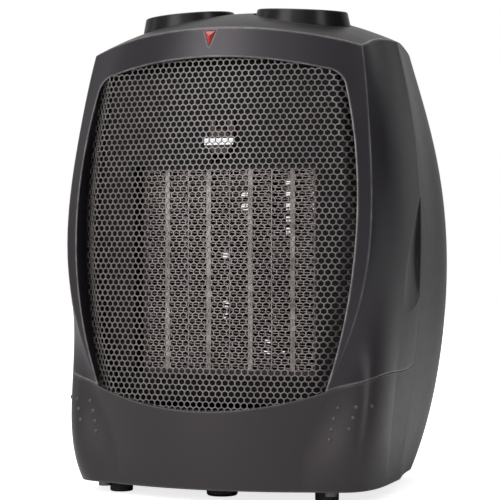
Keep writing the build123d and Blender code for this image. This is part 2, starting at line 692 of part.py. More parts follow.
def mesh_drum(inset):
    """Leaning drum whose skin is the bowed mesh; inset moves the skin inwards."""
    lean = radians(MESH_LEAN)
    middle = (0, MESH_FACE_Y + MESH_BOW_R, OUTLET_WIDE_Z)
    frame = Plane(origin=middle, x_dir=(1, 0, 0), z_dir=(0, sin(lean), cos(lean)))
    return frame.location * Cylinder(MESH_BOW_R - inset, 4 * FAR)


def drum_slice(near, far, outline):
    """Bowed sheet between two insets of the drum, inside an outline, clear of the baffle's bosses."""
    front = along_y(outline, -FAR, MESH_ROOM_Y)
    return (front & (mesh_drum(near) - mesh_drum(far))) - boss_room()


def outlet_lip():
    """Return lip round the outlet, from the front wall back to the mesh."""
    ring = along_y(outlet_face(OUTLET_LIP), -FAR, MESH_ROOM_Y)
    ring = ring - along_y(outlet_face(), -FAR, MESH_ROOM_Y)
    return (ring & OUTER) - mesh_drum(-SEAT_GAP)


def mesh_holes():
    """Staggered rows of pointed-top hexagons that stay clear of the outlet's edge."""
    hexagon = RegularPolygon((MESH_PITCH - MESH_WEB) / 2, 6, major_radius=False, rotation=30)
    row_step = MESH_PITCH * sqrt(3) / 2
    rows = ceil((OUTLET_TOP_Z - OUTLET_SILL_Z) / row_step)
    columns = ceil(OUTLET_WIDE_HALF / MESH_PITCH)
    room = outlet_face(-MESH_MARGIN)
    holes = []
    for row in range(rows):
        z = OUTLET_SILL_Z + row * row_step
        for column in range(-columns, columns + 1):
            x = (column + (row % 2) / 2) * MESH_PITCH
            if room.is_inside((x, z, 0)):
                holes.append(Pos(x, z) * hexagon)
    return Sketch() + holes


def front_grille():
    """Bowed mesh of the outlet."""
    sheet = drum_slice(0, MESH_SHEET, outlet_face(MESH_LAP)) & case_form(WALL + SEAT_GAP)
    return sheet - along_y(mesh_holes(), -FAR, MESH_ROOM_Y)


def grille_retainer():
    """Ring behind the mesh, with an ear round each of the baffle's lower bosses."""
    lower = on_sides([BAFFLE_SCREW_LOW])
    ears = [Pos(x, z) * Circle(BOSS_R + SEAT_GAP + RETAINER_EAR) for x, z in lower]
    ring = outlet_face(MESH_LAP) + ears - outlet_face()
    near = MESH_SHEET + SEAT_GAP
    return drum_slice(near, near + RETAINER, ring) & case_form(WALL + SEAT_GAP)


# ================================================================ heating element
ELEMENT_BACK_Y = ELEMENT_FACE_Y + ELEMENT_DEPTH
ELEMENT_LOW_Z = ELEMENT_Z - ELEMENT_HEIGHT / 2
ELEMENT_HIGH_Z = ELEMENT_Z + ELEMENT_HEIGHT / 2
ELEMENT_HALF = MODULES * MODULE_PITCH / 2
FRAME_HALF = ELEMENT_HALF + SEAT_GAP + FRAME_RAIL
FRAME_LOW_Z = ELEMENT_LOW_Z - FRAME_END
FRAME_HIGH_Z = ELEMENT_HIGH_Z + FRAME_END
WINDOW_HALF = ELEMENT_HALF + FRAME_RAIL + WINDOW_MARGIN


def module_middles():
    return [(i - (MODULES - 1) / 2) * MODULE_PITCH for i in range(MODULES)]


def ptc_strips():
    """Ceramic strip in the middle of each module."""
    half = STRIP_WIDTH / 2
    low = ELEMENT_LOW_Z
    high = ELEMENT_HIGH_Z
    bars = [block(x - half, x + half, ELEMENT_FACE_Y, ELEMENT_BACK_Y, low, high) for x in module_middles()]
    return Compound(children=bars)


def fin_column(x_low, x_high):
    """Folded strip that zigzags up the whole height of the element."""
    step = (ELEMENT_HEIGHT - 2 * FIN_SHEET) / FIN_FOLDS
    legs = []
    for fold in range(FIN_FOLDS):
        start_x, end_x = (x_low, x_high) if fold % 2 == 0 else (x_high, x_low)
        low = ELEMENT_LOW_Z + fold * step
        corners = [(start_x, low), (end_x, low + step), (end_x, low + step + 2 * FIN_SHEET)]
        corners.append((start_x, low + 2 * FIN_SHEET))
        legs.append(make_face(Polyline(*corners, corners[0])))
    return along_y(Sketch() + legs, ELEMENT_FACE_Y, ELEMENT_BACK_Y)


def ptc_fins():
    """A folded strip on each side of every ceramic strip."""
    width = (MODULE_PITCH - STRIP_WIDTH) / 2
    columns = []
    for x in module_middles():
        for side in MIRRORED:
            inner = x + side * STRIP_WIDTH / 2
            outer = x + side * (STRIP_WIDTH / 2 + width - FIN_SHEET / 2)
            columns.append(fin_column(min(inner, outer), max(inner, outer)))
    return Compound(children=columns)


def ptc_frame():
    """Plastic frame round the modules, open for the tabs."""
    outside = block(-FRAME_HALF, FRAME_HALF, ELEMENT_FACE_Y, ELEMENT_BACK_Y, FRAME_LOW_Z, FRAME_HIGH_Z)
    half = ELEMENT_HALF + SEAT_GAP
    inside = block(-half, half, -FAR, FAR, ELEMENT_LOW_Z, ELEMENT_HIGH_Z)
    frame = outside - inside
    for x in terminal_places():
        frame = frame - block(
            x - TAB_WIDTH / 2 - SEAT_GAP, x + TAB_WIDTH / 2 + SEAT_GAP,
            TERMINAL_Y - TAB_SHEET / 2 - SEAT_GAP, TERMINAL_Y + TAB_SHEET / 2 + SEAT_GAP,
            ELEMENT_HIGH_Z - OVER, FRAME_HIGH_Z + OVER,
        )
    return frame


TERMINAL_Y = ELEMENT_BACK_Y - TAB_IN


def terminal_places():
    return [-MODULE_PITCH, 0, MODULE_PITCH]


def ptc_terminals():
    """Tabs that stand up from the element."""
    tabs = []
    for x in terminal_places():
        half = TAB_WIDTH / 2
        tabs.append(block(
            x - half, x + half, TERMINAL_Y - TAB_SHEET / 2, TERMINAL_Y + TAB_SHEET / 2,
            ELEMENT_HIGH_Z, ELEMENT_HIGH_Z + TAB_LENGTH,
        ))
    return Compound(children=tabs)


def air_baffle():
    """Plate behind the mesh with a window for the element and a collar back to the element's frame."""
    slab = block(-FAR, FAR, BAFFLE_FACE_Y, BAFFLE_BACK_Y, BAFFLE_LOW_Z, BAFFLE_HIGH_Z)
    behind_ring = mesh_drum(MESH_SHEET + SEAT_GAP + RETAINER + RETAINER_CLEAR)
    plate = case_form(WALL + 2 * SEAT_GAP) & slab & behind_ring
    window_low = ELEMENT_LOW_Z - WINDOW_MARGIN
    window_high = ELEMENT_HIGH_Z + WINDOW_MARGIN
    collar = block(
        -WINDOW_HALF - BAFFLE_SHEET, WINDOW_HALF + BAFFLE_SHEET, BAFFLE_FACE_Y, ELEMENT_FACE_Y,
        window_low - BAFFLE_SHEET, window_high + BAFFLE_SHEET,
    )
    window = block(-WINDOW_HALF, WINDOW_HALF, -FAR, 0, window_low, window_high)
    notch = block(-NOTCH_HALF, NOTCH_HALF, BAFFLE_FACE_Y, BAFFLE_BACK_Y, window_high, NOTCH_TOP_Z)
    holes = merged(*[rod_y(x, z, SCREW_R + SEAT_GAP, -FAR, 0) for x, z in BAFFLE_SCREWS])
    return plate + collar - window - notch - holes


def baffle_screws():
    screws = []
    for x, z in BAFFLE_SCREWS:
        head = rod_y(x, z, SCREW_HEAD_R, BAFFLE_BACK_Y, BAFFLE_BACK_Y + SCREW_HEAD)
        screws.append(head + rod_y(x, z, SCREW_R, BAFFLE_TIP_Y, BAFFLE_BACK_Y))
    return Compound(children=screws)


def thermal_cutout():
    """Button thermostat on the baffle's face, over the element."""
    low = BAFFLE_FACE_Y - CUTOUT_HEIGHT
    can = rod_y(0, CUTOUT_Z, CUTOUT_R, low, BAFFLE_FACE_Y)
    for side in MIRRORED:
        x = side * (CUTOUT_R - CUTOUT_TAB_WIDTH / 2)
        half = CUTOUT_TAB_WIDTH / 2
        tab_y = BAFFLE_FACE_Y - CUTOUT_HEIGHT / 2
        top = CUTOUT_Z + CUTOUT_R + CUTOUT_TAB_RISE
        can = can + block(x - half, x + half, tab_y, tab_y + TAB_SHEET, CUTOUT_Z, top)
    return can


def cutout_clip():
    """Bridge over the cut-out, with a foot on the baffle at each end."""
    face = BAFFLE_FACE_Y - CUTOUT_HEIGHT - SEAT_GAP
    low = CUTOUT_Z - CLIP_HALF_HEIGHT
    high = CUTOUT_Z + CLIP_HALF_HEIGHT
    bridge = block(-CLIP_HALF, CLIP_HALF, face - CLIP_SHEET, BAFFLE_FACE_Y, low, high)
    inside = CLIP_HALF - CLIP_SHEET
    return bridge - block(-inside, inside, face, BAFFLE_FACE_Y, low, high)


# ================================================================ fan
FAN_BACK_Y = FAN_FRONT_Y + FAN_DEPTH
SPIDER_BACK_Y = FAN_TUNNEL_END_Y + SPIDER_SHEET
TUNNEL_OUT_R = FAN_TUNNEL_R + DUCT_WALL


def fan_duct():
    """Square duct from the element back to the round tunnel of the fan."""
    half = FRAME_HALF
    plate_half = TUNNEL_OUT_R + DUCT_PLATE_RIM
    outside = block(-half, half, ELEMENT_BACK_Y, DUCT_PLATE_Y, FRAME_LOW_Z, FRAME_HIGH_Z)
    plate = block(
        -plate_half, plate_half, DUCT_PLATE_Y, DUCT_PLATE_Y + DUCT_WALL,
        ELEMENT_Z - FRAME_HALF - DUCT_PLATE_RISE, ELEMENT_Z + FRAME_HALF + DUCT_PLATE_RISE,
    )
    tunnel = rod_y(0, ELEMENT_Z, TUNNEL_OUT_R, DUCT_PLATE_Y, FAN_TUNNEL_END_Y)
    inside = block(
        -half + DUCT_WALL, half - DUCT_WALL, -FAR, DUCT_PLATE_Y,
        FRAME_LOW_Z + DUCT_WALL, FRAME_HIGH_Z - DUCT_WALL,
    )
    bore = rod_y(0, ELEMENT_Z, FAN_TUNNEL_R, DUCT_PLATE_Y - OVER, FAR)
    return outside + plate + tunnel - inside - bore


def fan_impeller():
    """Hub with inclined blades."""
    hub = rod_y(0, 0, FAN_HUB_R, FAN_FRONT_Y, FAN_BACK_Y)
    rotor = hub
    middle = (FAN_FRONT_Y + FAN_BACK_Y) / 2
    chord = FAN_DEPTH / sin(radians(FAN_BLADE_PITCH)) - 2 * FAN_BLADE_SHEET
    length = FAN_TIP_R + FAN_CAP - FAN_HUB_R / 2
    for blade_number in range(FAN_BLADES):
        vane = Box(FAN_BLADE_SHEET, chord, length, align=(Align.CENTER, Align.CENTER, Align.MIN))
        vane = Pos(0, middle, FAN_HUB_R / 2) * Rot(0, 0, 90 - FAN_BLADE_PITCH) * vane
        rotor = rotor + Rot(0, 360 / FAN_BLADES * blade_number, 0) * vane
    rotor = rotor & rod_y(0, 0, FAN_TIP_R, FAN_FRONT_Y, FAN_BACK_Y)
    rotor = rotor - rod_y(0, 0, MOTOR_SHAFT_R + RUN_FIT, FAN_FRONT_Y + FAN_CAP, FAN_BACK_Y)
    return Pos(0, 0, ELEMENT_Z) * rotor


def motor_shaft():
    low = FAN_FRONT_Y + FAN_CAP + SEAT_GAP
    return rod_y(0, ELEMENT_Z, MOTOR_SHAFT_R, low, SPIDER_BACK_Y + MOTOR_LENGTH / 2)


def motor_spider():
    """Ring on the tunnel's end with arms in to the motor's seat."""
    ring = rod_y(0, ELEMENT_Z, TUNNEL_OUT_R, FAN_TUNNEL_END_Y, SPIDER_BACK_Y)
    ring = ring - rod_y(0, ELEMENT_Z, FAN_TUNNEL_R - SPIDER_LIP, FAN_TUNNEL_END_Y, SPIDER_BACK_Y)
    seat = rod_y(0, ELEMENT_Z, MOTOR_R, FAN_TUNNEL_END_Y, SPIDER_BACK_Y)
    spider = ring + seat
    for arm_number in range(SPIDER_ARMS):
        arm = block(
            MOTOR_R - SPIDER_ROOT, FAN_TUNNEL_R, FAN_TUNNEL_END_Y, SPIDER_BACK_Y,
            -SPIDER_ARM_WIDTH / 2, SPIDER_ARM_WIDTH / 2,
        )
        turn = 360 / SPIDER_ARMS * (arm_number + 0.5)
        spider = spider + Pos(0, 0, ELEMENT_Z) * Rot(0, turn, 0) * arm
    return spider - rod_y(0, ELEMENT_Z, MOTOR_SHAFT_R + SEAT_GAP, FAN_TUNNEL_END_Y, SPIDER_BACK_Y)


def motor_body():
    """Motor's can, hollow for the shaft."""
    can = rod_y(0, ELEMENT_Z, MOTOR_R, SPIDER_BACK_Y, SPIDER_BACK_Y + MOTOR_LENGTH)
    edges = can.edges().filter_by(GeomType.CIRCLE).sort_by(Axis.Y)[-1]
    can = fillet(edges, MOTOR_EDGE)
    bore_end = SPIDER_BACK_Y + MOTOR_LENGTH / 2 + SEAT_GAP
    return can - rod_y(0, ELEMENT_Z, MOTOR_SHAFT_R + RUN_FIT, SPIDER_BACK_Y, bore_end)


# ================================================================ floor, feet and tip-over switch
FLOOR_TOP_Z = FLOOR_Z + FLOOR_SHEET
COLLAR_LOW_Z = FLOOR_TOP_Z + PLUNGER_TRAVEL
COLLAR_TOP_Z = COLLAR_LOW_Z + PLUNGER_COLLAR
GUIDE_CAP_Z = GUIDE_TOP_Z - GUIDE_WALL


def base_plate():
    """Floor of the case."""
    low = outline_face(OUTLINES[0], WALL + SEAT_GAP)
    plate = extrude(low, FLOOR_SHEET)
    for x, y in FEET:
        plate = plate - rod_z(x, y, PEG_R + RUN_FIT, FLOOR_Z, FLOOR_TOP_Z)
    for x, y in FLOOR_SCREWS:
        plate = plate - rod_z(x, y, SCREW_R + SEAT_GAP, FLOOR_Z, FLOOR_TOP_Z)
    return plate - rod_z(0, PLUNGER_Y, PLUNGER_R + SEAT_GAP, FLOOR_Z, FLOOR_TOP_Z)


def feet():
    """Round pads, each with a peg through the floor."""
    pads = []
    for x, y in FEET:
        pad = rod_z(x, y, FOOT_R, 0, FLOOR_Z)
        pad = fillet(pad.edges().filter_by(GeomType.CIRCLE).sort_by(Axis.Z)[0], FOOT_EDGE)
        pads.append(pad + rod_z(x, y, PEG_R, FLOOR_Z, FLOOR_TOP_Z + PEG_TOP))
    return Compound(children=pads)


def floor_screws():
    screws = []
    for x, y in FLOOR_SCREWS:
        head = rod_z(x, y, SCREW_HEAD_R, FLOOR_Z - SCREW_HEAD, FLOOR_Z)
        screws.append(head + rod_z(x, y, SCREW_R, FLOOR_Z, FLOOR_Z + FLOOR_SCREW_LENGTH))
    return Compound(children=screws)


def tip_guide():
    """Tube over the plunger, with the shelf that carries the switch."""
    tube = rod_z(0, PLUNGER_Y, GUIDE_BORE_R + GUIDE_WALL, FLOOR_TOP_Z, GUIDE_TOP_Z)
    flange = rod_z(0, PLUNGER_Y, GUIDE_FLANGE_R, FLOOR_TOP_Z, FLOOR_TOP_Z + GUIDE_WALL)
    reach = SWITCH_LEFT + SWITCH_WIDTH + SHELF_RIM
    half = SWITCH_DEPTH / 2 + SHELF_RIM
    web = GUSSET_SHEET / 2
    shelf = block(0, reach, PLUNGER_Y - half, PLUNGER_Y + half, SWITCH_LOW_Z - GUIDE_WALL, SWITCH_LOW_Z)
    gusset = block(0, reach, PLUNGER_Y - web, PLUNGER_Y + web, FLOOR_TOP_Z, SWITCH_LOW_Z)
    guide = tube + flange + shelf + gusset
    guide = guide - rod_z(0, PLUNGER_Y, GUIDE_BORE_R, FLOOR_TOP_Z, GUIDE_CAP_Z)
    return guide - rod_z(0, PLUNGER_Y, STEM_R + SEAT_GAP, GUIDE_CAP_Z, GUIDE_TOP_Z)


def tip_plunger():
    """Foot that the ground pushes up, with its collar and stem."""
    foot = rod_z(0, PLUNGER_Y, PLUNGER_R, PLUNGER_CLEAR, COLLAR_LOW_Z)
    foot = fillet(foot.edges().filter_by(GeomType.CIRCLE).sort_by(Axis.Z)[0], PLUNGER_EDGE)
    collar = rod_z(0, PLUNGER_Y, PLUNGER_COLLAR_R, COLLAR_LOW_Z, COLLAR_TOP_Z)
    return foot + collar + rod_z(0, PLUNGER_Y, STEM_R, COLLAR_TOP_Z, STEM_TOP_Z)


def tip_spring():
    """Stack of wire turns between the plunger's collar and the guide's cap."""
    low = COLLAR_TOP_Z + SPRING_WIRE_R
    high = GUIDE_CAP_Z - SPRING_WIRE_R
    pitch = (high - low) / SPRING_TURNS
    path = Pos(0, PLUNGER_Y, low) * Helix(pitch, high - low, SPRING_R)
    start = path @ 0
    wire = Plane(origin=start, z_dir=path % 0) * Circle(SPRING_WIRE_R)
    return sweep(wire, path)


SWITCH_LEFT = GUIDE_BORE_R + GUIDE_WALL + SEAT_GAP
SWITCH_TOP_Z = SWITCH_LOW_Z + SWITCH_HEIGHT


def micro_switch():
    """Switch body with two ears and the pin that the lever swings on."""
    half = SWITCH_DEPTH / 2
    body = block(
        SWITCH_LEFT, SWITCH_LEFT + SWITCH_WIDTH, PLUNGER_Y - half, PLUNGER_Y + half,
        SWITCH_LOW_Z, SWITCH_TOP_Z,
    )
    for place in (PLUNGER_Y - half, PLUNGER_Y + half - SWITCH_EAR_SHEET):
        body = body + block(
            LEVER_PIVOT_X - SWITCH_EAR_HALF, LEVER_PIVOT_X + SWITCH_EAR_HALF,
            place, place + SWITCH_EAR_SHEET, SWITCH_TOP_Z, LEVER_PIVOT_Z + SWITCH_EAR_HALF,
        )
    return body + rod_y(LEVER_PIVOT_X, LEVER_PIVOT_Z, LEVER_PIN_R, PLUNGER_Y - half, PLUNGER_Y + half)


def tip_lever():
    """Arm from the switch's pin to over the plunger's stem."""
    half = LEVER_WIDTH / 2
    low = STEM_TOP_Z + SEAT_GAP
    arm = block(
        -LEVER_OVERHANG, LEVER_PIVOT_X, PLUNGER_Y - half, PLUNGER_Y + half, low, low + LEVER_SHEET
    )
    hub = rod_y(LEVER_PIVOT_X, LEVER_PIVOT_Z, LEVER_HUB_R, PLUNGER_Y - half, PLUNGER_Y + half)
    bore = rod_y(LEVER_PIVOT_X, LEVER_PIVOT_Z, LEVER_PIN_R + RUN_FIT, -FAR, FAR)
    return arm + hub - bore


# ================================================================ mains inlet
def back_wall_y(z):
    """Outside of the back wall above or below the mains inlet."""
    hits = OUTER.find_intersection_points(Axis((GLAND_X, FAR, z), (0, -1, 0)))
    return max(point.Y for point, normal in hits)


def cord_gland():
    """Bush that lines the mains inlet, with a lip inside and outside the wall."""
    upper = back_wall_y(GLAND_Z + GLAND_FLANGE_R) + SEAT_GAP
    lower = back_wall_y(GLAND_Z - GLAND_FLANGE_R) - WALL - 2 * SEAT_GAP
    bush = rod_y(GLAND_X, GLAND_Z, GLAND_R, lower - GLAND_LIP, upper + GLAND_LIP)
    outside = rod_y(GLAND_X, GLAND_Z, GLAND_FLANGE_R, upper, upper + GLAND_LIP)
    inside = rod_y(GLAND_X, GLAND_Z, GLAND_FLANGE_R, lower - GLAND_LIP, lower)
    return bush + outside + inside - rod_y(GLAND_X, GLAND_Z, GLAND_BORE_R, 0, FAR)


def terminal_block():
    """Block with a wire hole along Y and a screw hole from above for each way."""
    front = BLOCK_Y - BLOCK_DEPTH
    middle = (front + BLOCK_Y) / 2
    top = FLOOR_TOP_Z + BLOCK_HEIGHT
    body = block(BLOCK_X, BLOCK_X + BLOCK_WIDTH, front, BLOCK_Y, FLOOR_TOP_Z, top)
    for way in range(BLOCK_WAYS):
        x = BLOCK_X + (2 * way + 1) / 2 * BLOCK_WIDTH / BLOCK_WAYS
        body = body - rod_y(x, (FLOOR_TOP_Z + top) / 2, BLOCK_WIRE_R, front, BLOCK_Y)
        body = body - rod_z(x, middle, BLOCK_SCREW_R, top - BLOCK_SCREW_DEPTH, top)
    return body


def case_screws():
    screws = []
    for x, z in CASE_SCREWS:
        head = rod_y(x, z, SCREW_HEAD_R, CASE_SCREW_SEAT_Y, CASE_SCREW_SEAT_Y + SCREW_HEAD)
        screws.append(head + rod_y(x, z, SCREW_R, CASE_SCREW_TIP_Y, CASE_SCREW_SEAT_Y))
    return Compound(children=screws)


NODES = {
    "front_housing": front_housing,
    "top_cover": top_cover,
    "base_shell": base_shell,
    "rear_housing": rear_housing,
    "grip_cup": grip_cup,
    "base_plate": base_plate,
    "feet": feet,
    "front_grille": front_grille,
    "grille_retainer": grille_retainer,
    "air_baffle": air_baffle,
    "baffle_screws": baffle_screws,
    "thermal_cutout": thermal_cutout,
    "cutout_clip": cutout_clip,
    "ptc_frame": ptc_frame,
    "ptc_strips": ptc_strips,
    "ptc_fins": ptc_fins,
    "ptc_terminals": ptc_terminals,
    "fan_duct": fan_duct,
    "fan_impeller": fan_impeller,
    "motor_shaft": motor_shaft,
    "motor_spider": motor_spider,
    "motor_body": motor_body,
    "mode_knob": lambda: dial_knob(-1),
    "mode_shaft": lambda: dial_shaft(-1),
    "mode_switch": lambda: control_body(-1),
    "thermostat_knob": lambda: dial_knob(1),
    "thermostat_shaft": lambda: dial_shaft(1),
    "thermostat_body": lambda: control_body(1),
    "bush_nuts": bush_nuts,
    "pilot_lens": pilot_lens,
    "pilot_lamp": pilot_lamp,
    "lamp_holder": lamp_holder,
    "tip_guide": tip_guide,
    "tip_plunger": tip_plunger,
    "tip_spring": tip_spring,
    "tip_lever": tip_lever,
    "micro_switch": micro_switch,
    "terminal_block": terminal_block,
    "cord_gland": cord_gland,
    "floor_screws": floor_screws,
    "case_screws": case_screws,
}

os.makedirs("parts", exist_ok=True)
for name, make in NODES.items():
    export_step(make(), f"parts/{name}.step")
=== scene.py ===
"""Looks of the ceramic tabletop heater: hex screen, fin pack, dials, trim, finishes, studio and camera."""

from math import atan2, ceil, cos, pi, radians, sin, sqrt, tan

import bmesh
import bpy
from mathutils import Matrix, Vector


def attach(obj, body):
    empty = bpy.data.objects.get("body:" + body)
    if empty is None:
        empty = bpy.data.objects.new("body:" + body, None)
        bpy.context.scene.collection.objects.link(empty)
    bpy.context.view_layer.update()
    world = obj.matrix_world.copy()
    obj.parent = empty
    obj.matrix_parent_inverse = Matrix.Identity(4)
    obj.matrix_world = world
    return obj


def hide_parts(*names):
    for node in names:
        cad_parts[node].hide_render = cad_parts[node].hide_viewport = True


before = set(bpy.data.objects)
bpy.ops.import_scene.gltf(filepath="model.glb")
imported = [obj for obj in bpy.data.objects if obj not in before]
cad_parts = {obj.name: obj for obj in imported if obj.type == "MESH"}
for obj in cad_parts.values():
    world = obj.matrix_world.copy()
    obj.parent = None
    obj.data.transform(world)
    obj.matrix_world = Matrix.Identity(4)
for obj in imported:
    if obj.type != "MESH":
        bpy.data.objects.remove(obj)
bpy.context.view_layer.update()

MIRRORED = (-1, 1)

# ---------------------------------------------------------------- air outlet and screen (metres)
OUTLET_FOOT = (0.0622, 0.056)
OUTLET_WIDE = (0.0767, 0.134)
OUTLET_SHOULDER = (0.0682, 0.208)
OUTLET_CORNER = (0.0655, 0.2132)
OUTLET_ARCH = (0.0587, 0.216)
OUTLET_TOP_Z = 0.2228
OUTLET_SILL_Z = 0.0455
ARC_STEPS = 24
SCREEN_FACE_Y = -0.068
SCREEN_BOW_R = 0.270
SCREEN_EDGE_R = 0.160    # the screen's sides lie on a tighter bow, under the bezel
SCREEN_LEAN = radians(3.6)
SCREEN_PITCH = 0.00338
SCREEN_ROW_STEP = 0.00277
SCREEN_WEB = 0.00056
SCREEN_SHEET = 0.0006
SCREEN_LAP = 0.0030
SCREEN_COVER = 0.0008    # bezel over the screen, at least
EDGE_TURN = 0.011        # width of the turn between the two bows

# ---------------------------------------------------------------- heating element
ELEMENT_Z = 0.1155
ELEMENT_HEIGHT = 0.1038
ELEMENT_LOW = ELEMENT_Z - ELEMENT_HEIGHT / 2
ELEMENT_FACE_Y = -0.0385
ELEMENT_DEPTH = 0.016
MODULES = 4
MODULE_PITCH = 0.0233
STRIP_WIDTH = 0.0026
FIN_FOLDS = 72
FIN_SHEET = 0.00034
FIN_TILT = 0.45          # share of a fold's rise that lies in its leg
BORDER_WIDTH = 0.0009
BORDER_SHEET = 0.0003
FIN_SETBACK = 0.0004     # fins end short of the element's faces

# ---------------------------------------------------------------- trim
BASE_DOTS = [            # x, z
    (0.0680, 0.0477), (0.0766, 0.0483), (0.0829, 0.0487), (0.0661, 0.0425), (0.0754, 0.0431),
    (0.0648, 0.0371), (0.0737, 0.0377), (0.0639, 0.0321),
]
DOT_R = 0.0011
DOT_FLATNESS = 0.55
DIAL_X = 0.032
DIAL_Y = -0.016
DIAL_TOP_Z = 0.2503
DIAL_LEAN_OUT = radians(3.65)
DIAL_LEAN_FORWARD = radians(3.4)
POINTER_WIDTH = 0.0016
POINTER_LENGTH = 0.010
POINTER_HEIGHT = 0.0003
POINTER_REACH = 0.0185
LENS_POINT = 0.0011
LENS_CORNER = 0.0002     # how near its highest and lowest points a corner of the lens lies

# ---------------------------------------------------------------- studio
VIEW_AZIMUTH = radians(22)
VIEW_HEIGHT = 0.1257
VIEW_DISTANCE = 1.05
VIEW_SIDESTEP = -0.00374
LENS_MM = 141.4
SENSOR_MM = 36.0
FLOOR_WIDTH = 6.0
FLOOR_GLOW_REACH = (0.10, 0.30)    # from the middle, where the floor's glow grows
FLOOR_GLOW = (0.78, 1.0)           # the floor's own white for the camera, at the feet and far away
FILL = 0.45                        # even light of the room
# brightness of the room in reflections, by heading in degrees (0 right, 90 behind, -90 in front)
ROOM = [
    (-180, 0.30), (-176, 2.00), (-170, 0.30), (-150, 0.38), (-128, 0.66), (-112, 1.05), (-92, 1.05),
    (-76, 1.00), (-58, 0.35), (-34, 0.15), (-24, 4.00), (-18, 4.00), (-8, 0.15), (15, 0.05), (46, 0.04),
    (60, 0.38), (76, 0.36), (90, 0.58), (150, 0.40), (180, 0.30),
]
# name, place, target, size, watts
SOFTBOXES = [
    ("Overhead softbox", (-0.25, -0.45, 1.35), (0, 0, 0.15), (1.1, 0.8), 12.0),
    ("Front softbox", (-0.62, -1.55, 0.75), (0, 0, 0.12), (0.8, 1.0), 12.0),
]


# ================================================================ modelling helpers
def nothing_selected():
    if bpy.context.object and bpy.context.object.mode != "OBJECT":
        bpy.ops.object.mode_set(mode="OBJECT")
    bpy.ops.object.select_all(action="DESELECT")


def only(obj):
    """Make obj the one selected and active object."""
    nothing_selected()
    obj.select_set(True)
    bpy.context.view_layer.objects.active = obj
    return obj


def fresh(name):
    """Name the primitive that was just added."""
    obj = bpy.context.object
    obj.name = name
    obj.data.name = name
    return obj


def settle(obj):
    """Put the object's place and size into its mesh."""
    only(obj)
    bpy.ops.object.transform_apply(location=True, rotation=True, scale=True)
    return obj


def edit(obj):
    only(obj)
    bpy.ops.object.mode_set(mode="EDIT")


def done():
    bpy.ops.object.mode_set(mode="OBJECT")


def pick(obj, kind, test):
    """Select, in edit mode, the faces, edges or vertices that pass the test."""
    bpy.ops.mesh.select_mode(type={"faces": "FACE", "edges": "EDGE", "verts": "VERT"}[kind])
    bpy.ops.mesh.select_all(action="DESELECT")
    shape = bmesh.from_edit_mesh(obj.data)
    for item in getattr(shape, kind):
        item.select_set(bool(test(item)))
    shape.select_flush_mode()
    bmesh.update_edit_mesh(obj.data)


def modify(obj, name, kind, **values):
    """Add a modifier and apply it at once."""
    only(obj)
    modifier = obj.modifiers.new(name, kind)
    for key, value in values.items():
        setattr(modifier, key, value)
    bpy.ops.object.modifier_apply(modifier=name)


def repeat(obj, name, count, step):
    """Repeat the object's mesh along a step."""
    modify(
        obj, name, "ARRAY", count=count, use_relative_offset=False, use_constant_offset=True,
        constant_offset_displace=step, use_merge_vertices=False,
    )


def tidy_mesh(obj, distance=1e-6):
    """Merge doubles and turn all faces outwards."""
    edit(obj)
    bpy.ops.mesh.select_all(action="SELECT")
    bpy.ops.mesh.remove_doubles(threshold=distance)
    bpy.ops.mesh.normals_make_consistent(inside=False)
    done()


def smooth(obj, angle=30):
    only(obj)
    bpy.ops.object.shade_smooth_by_angle(angle=radians(angle))


def copied(obj, name):
    """A copy of the object with a mesh of its own."""
    other = obj.copy()
    other.data = obj.data.copy()
    other.name = name
    other.data.name = name
    bpy.context.scene.collection.objects.link(other)
    return other


def added_box(name):
    nothing_selected()
    bpy.ops.mesh.primitive_cube_add(size=1)
    return fresh(name)


def joined(pieces, name):
    only(pieces[0])
    for piece in pieces[1:]:
        piece.select_set(True)
    bpy.ops.object.join()
    return fresh(name)


def surface_at(name, x, z):
    """Depth and normal of a node's outside, where a line from the front meets it."""
    _, place, normal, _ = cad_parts[name].ray_cast(Vector((x, -1.0, z)), Vector((0, 1, 0)))
    return place.y, normal


def finish_piece(obj, material, body="case", replaced=()):
    obj.data.materials.clear()
    obj.data.materials.append(material)
    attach(obj, body)
    if replaced:
        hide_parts(*replaced)


# ================================================================ shader groups
BEVEL_SAMPLES = 4
RUB_AND_HIGHLIGHT_REACH = 0.0016       # how far from an edge its rubbed and painted-highlight line reaches
FINE_EDGE = 0.0002       # softened edge of a metal part or a lens
GRAIN_HEIGHT = 0.00004
STREAK_HEIGHT = 0.00003


def group(name, inputs, outputs):
    """New shader node group; inputs are (name, kind, default), outputs (name, kind)."""
    tree = bpy.data.node_groups.new(name, "ShaderNodeTree")
    for label, kind, value in inputs:
        socket = tree.interface.new_socket(label, in_out="INPUT", socket_type="NodeSocket" + kind)
        socket.default_value = value
    for label, kind in outputs:
        tree.interface.new_socket(label, in_out="OUTPUT", socket_type="NodeSocket" + kind)
    return tree, tree.nodes.new("NodeGroupInput"), tree.nodes.new("NodeGroupOutput")


def node(tree, kind, **inputs):
    """Add a node; inputs are numbers, colours or sockets, keyed by socket name with _ for a space."""
    item = tree.nodes.new("ShaderNode" + kind)
    for label, value in inputs.items():
        put(tree, item.inputs[label.replace("_", " ")], value)
    return item


def put(tree, socket, value):
    if isinstance(value, bpy.types.NodeSocket):
        tree.links.new(value, socket)
    else:
        socket.default_value = value


def wire(tree, target, **sockets):
    """Link sockets into a node's inputs, keyed by input name with _ for a space."""
    for label, socket in sockets.items():
        tree.links.new(socket, target.inputs[label.replace("_", " ")])


def vector_maths(tree, operation, first, second=None):
    """Vector maths node fed from one or two sockets."""
    item = tree.nodes.new("ShaderNodeVectorMath")
    item.operation = operation
    tree.links.new(first, item.inputs[0])
    if second is not None:
        tree.links.new(second, item.inputs["Scale" if operation == "SCALE" else 1])
    return item


def bevelled(tree, radius):
    """Normal of the surface with its edges rounded."""
    item = node(tree, "Bevel", Radius=radius)
    item.samples = BEVEL_SAMPLES
    return item.outputs["Normal"]


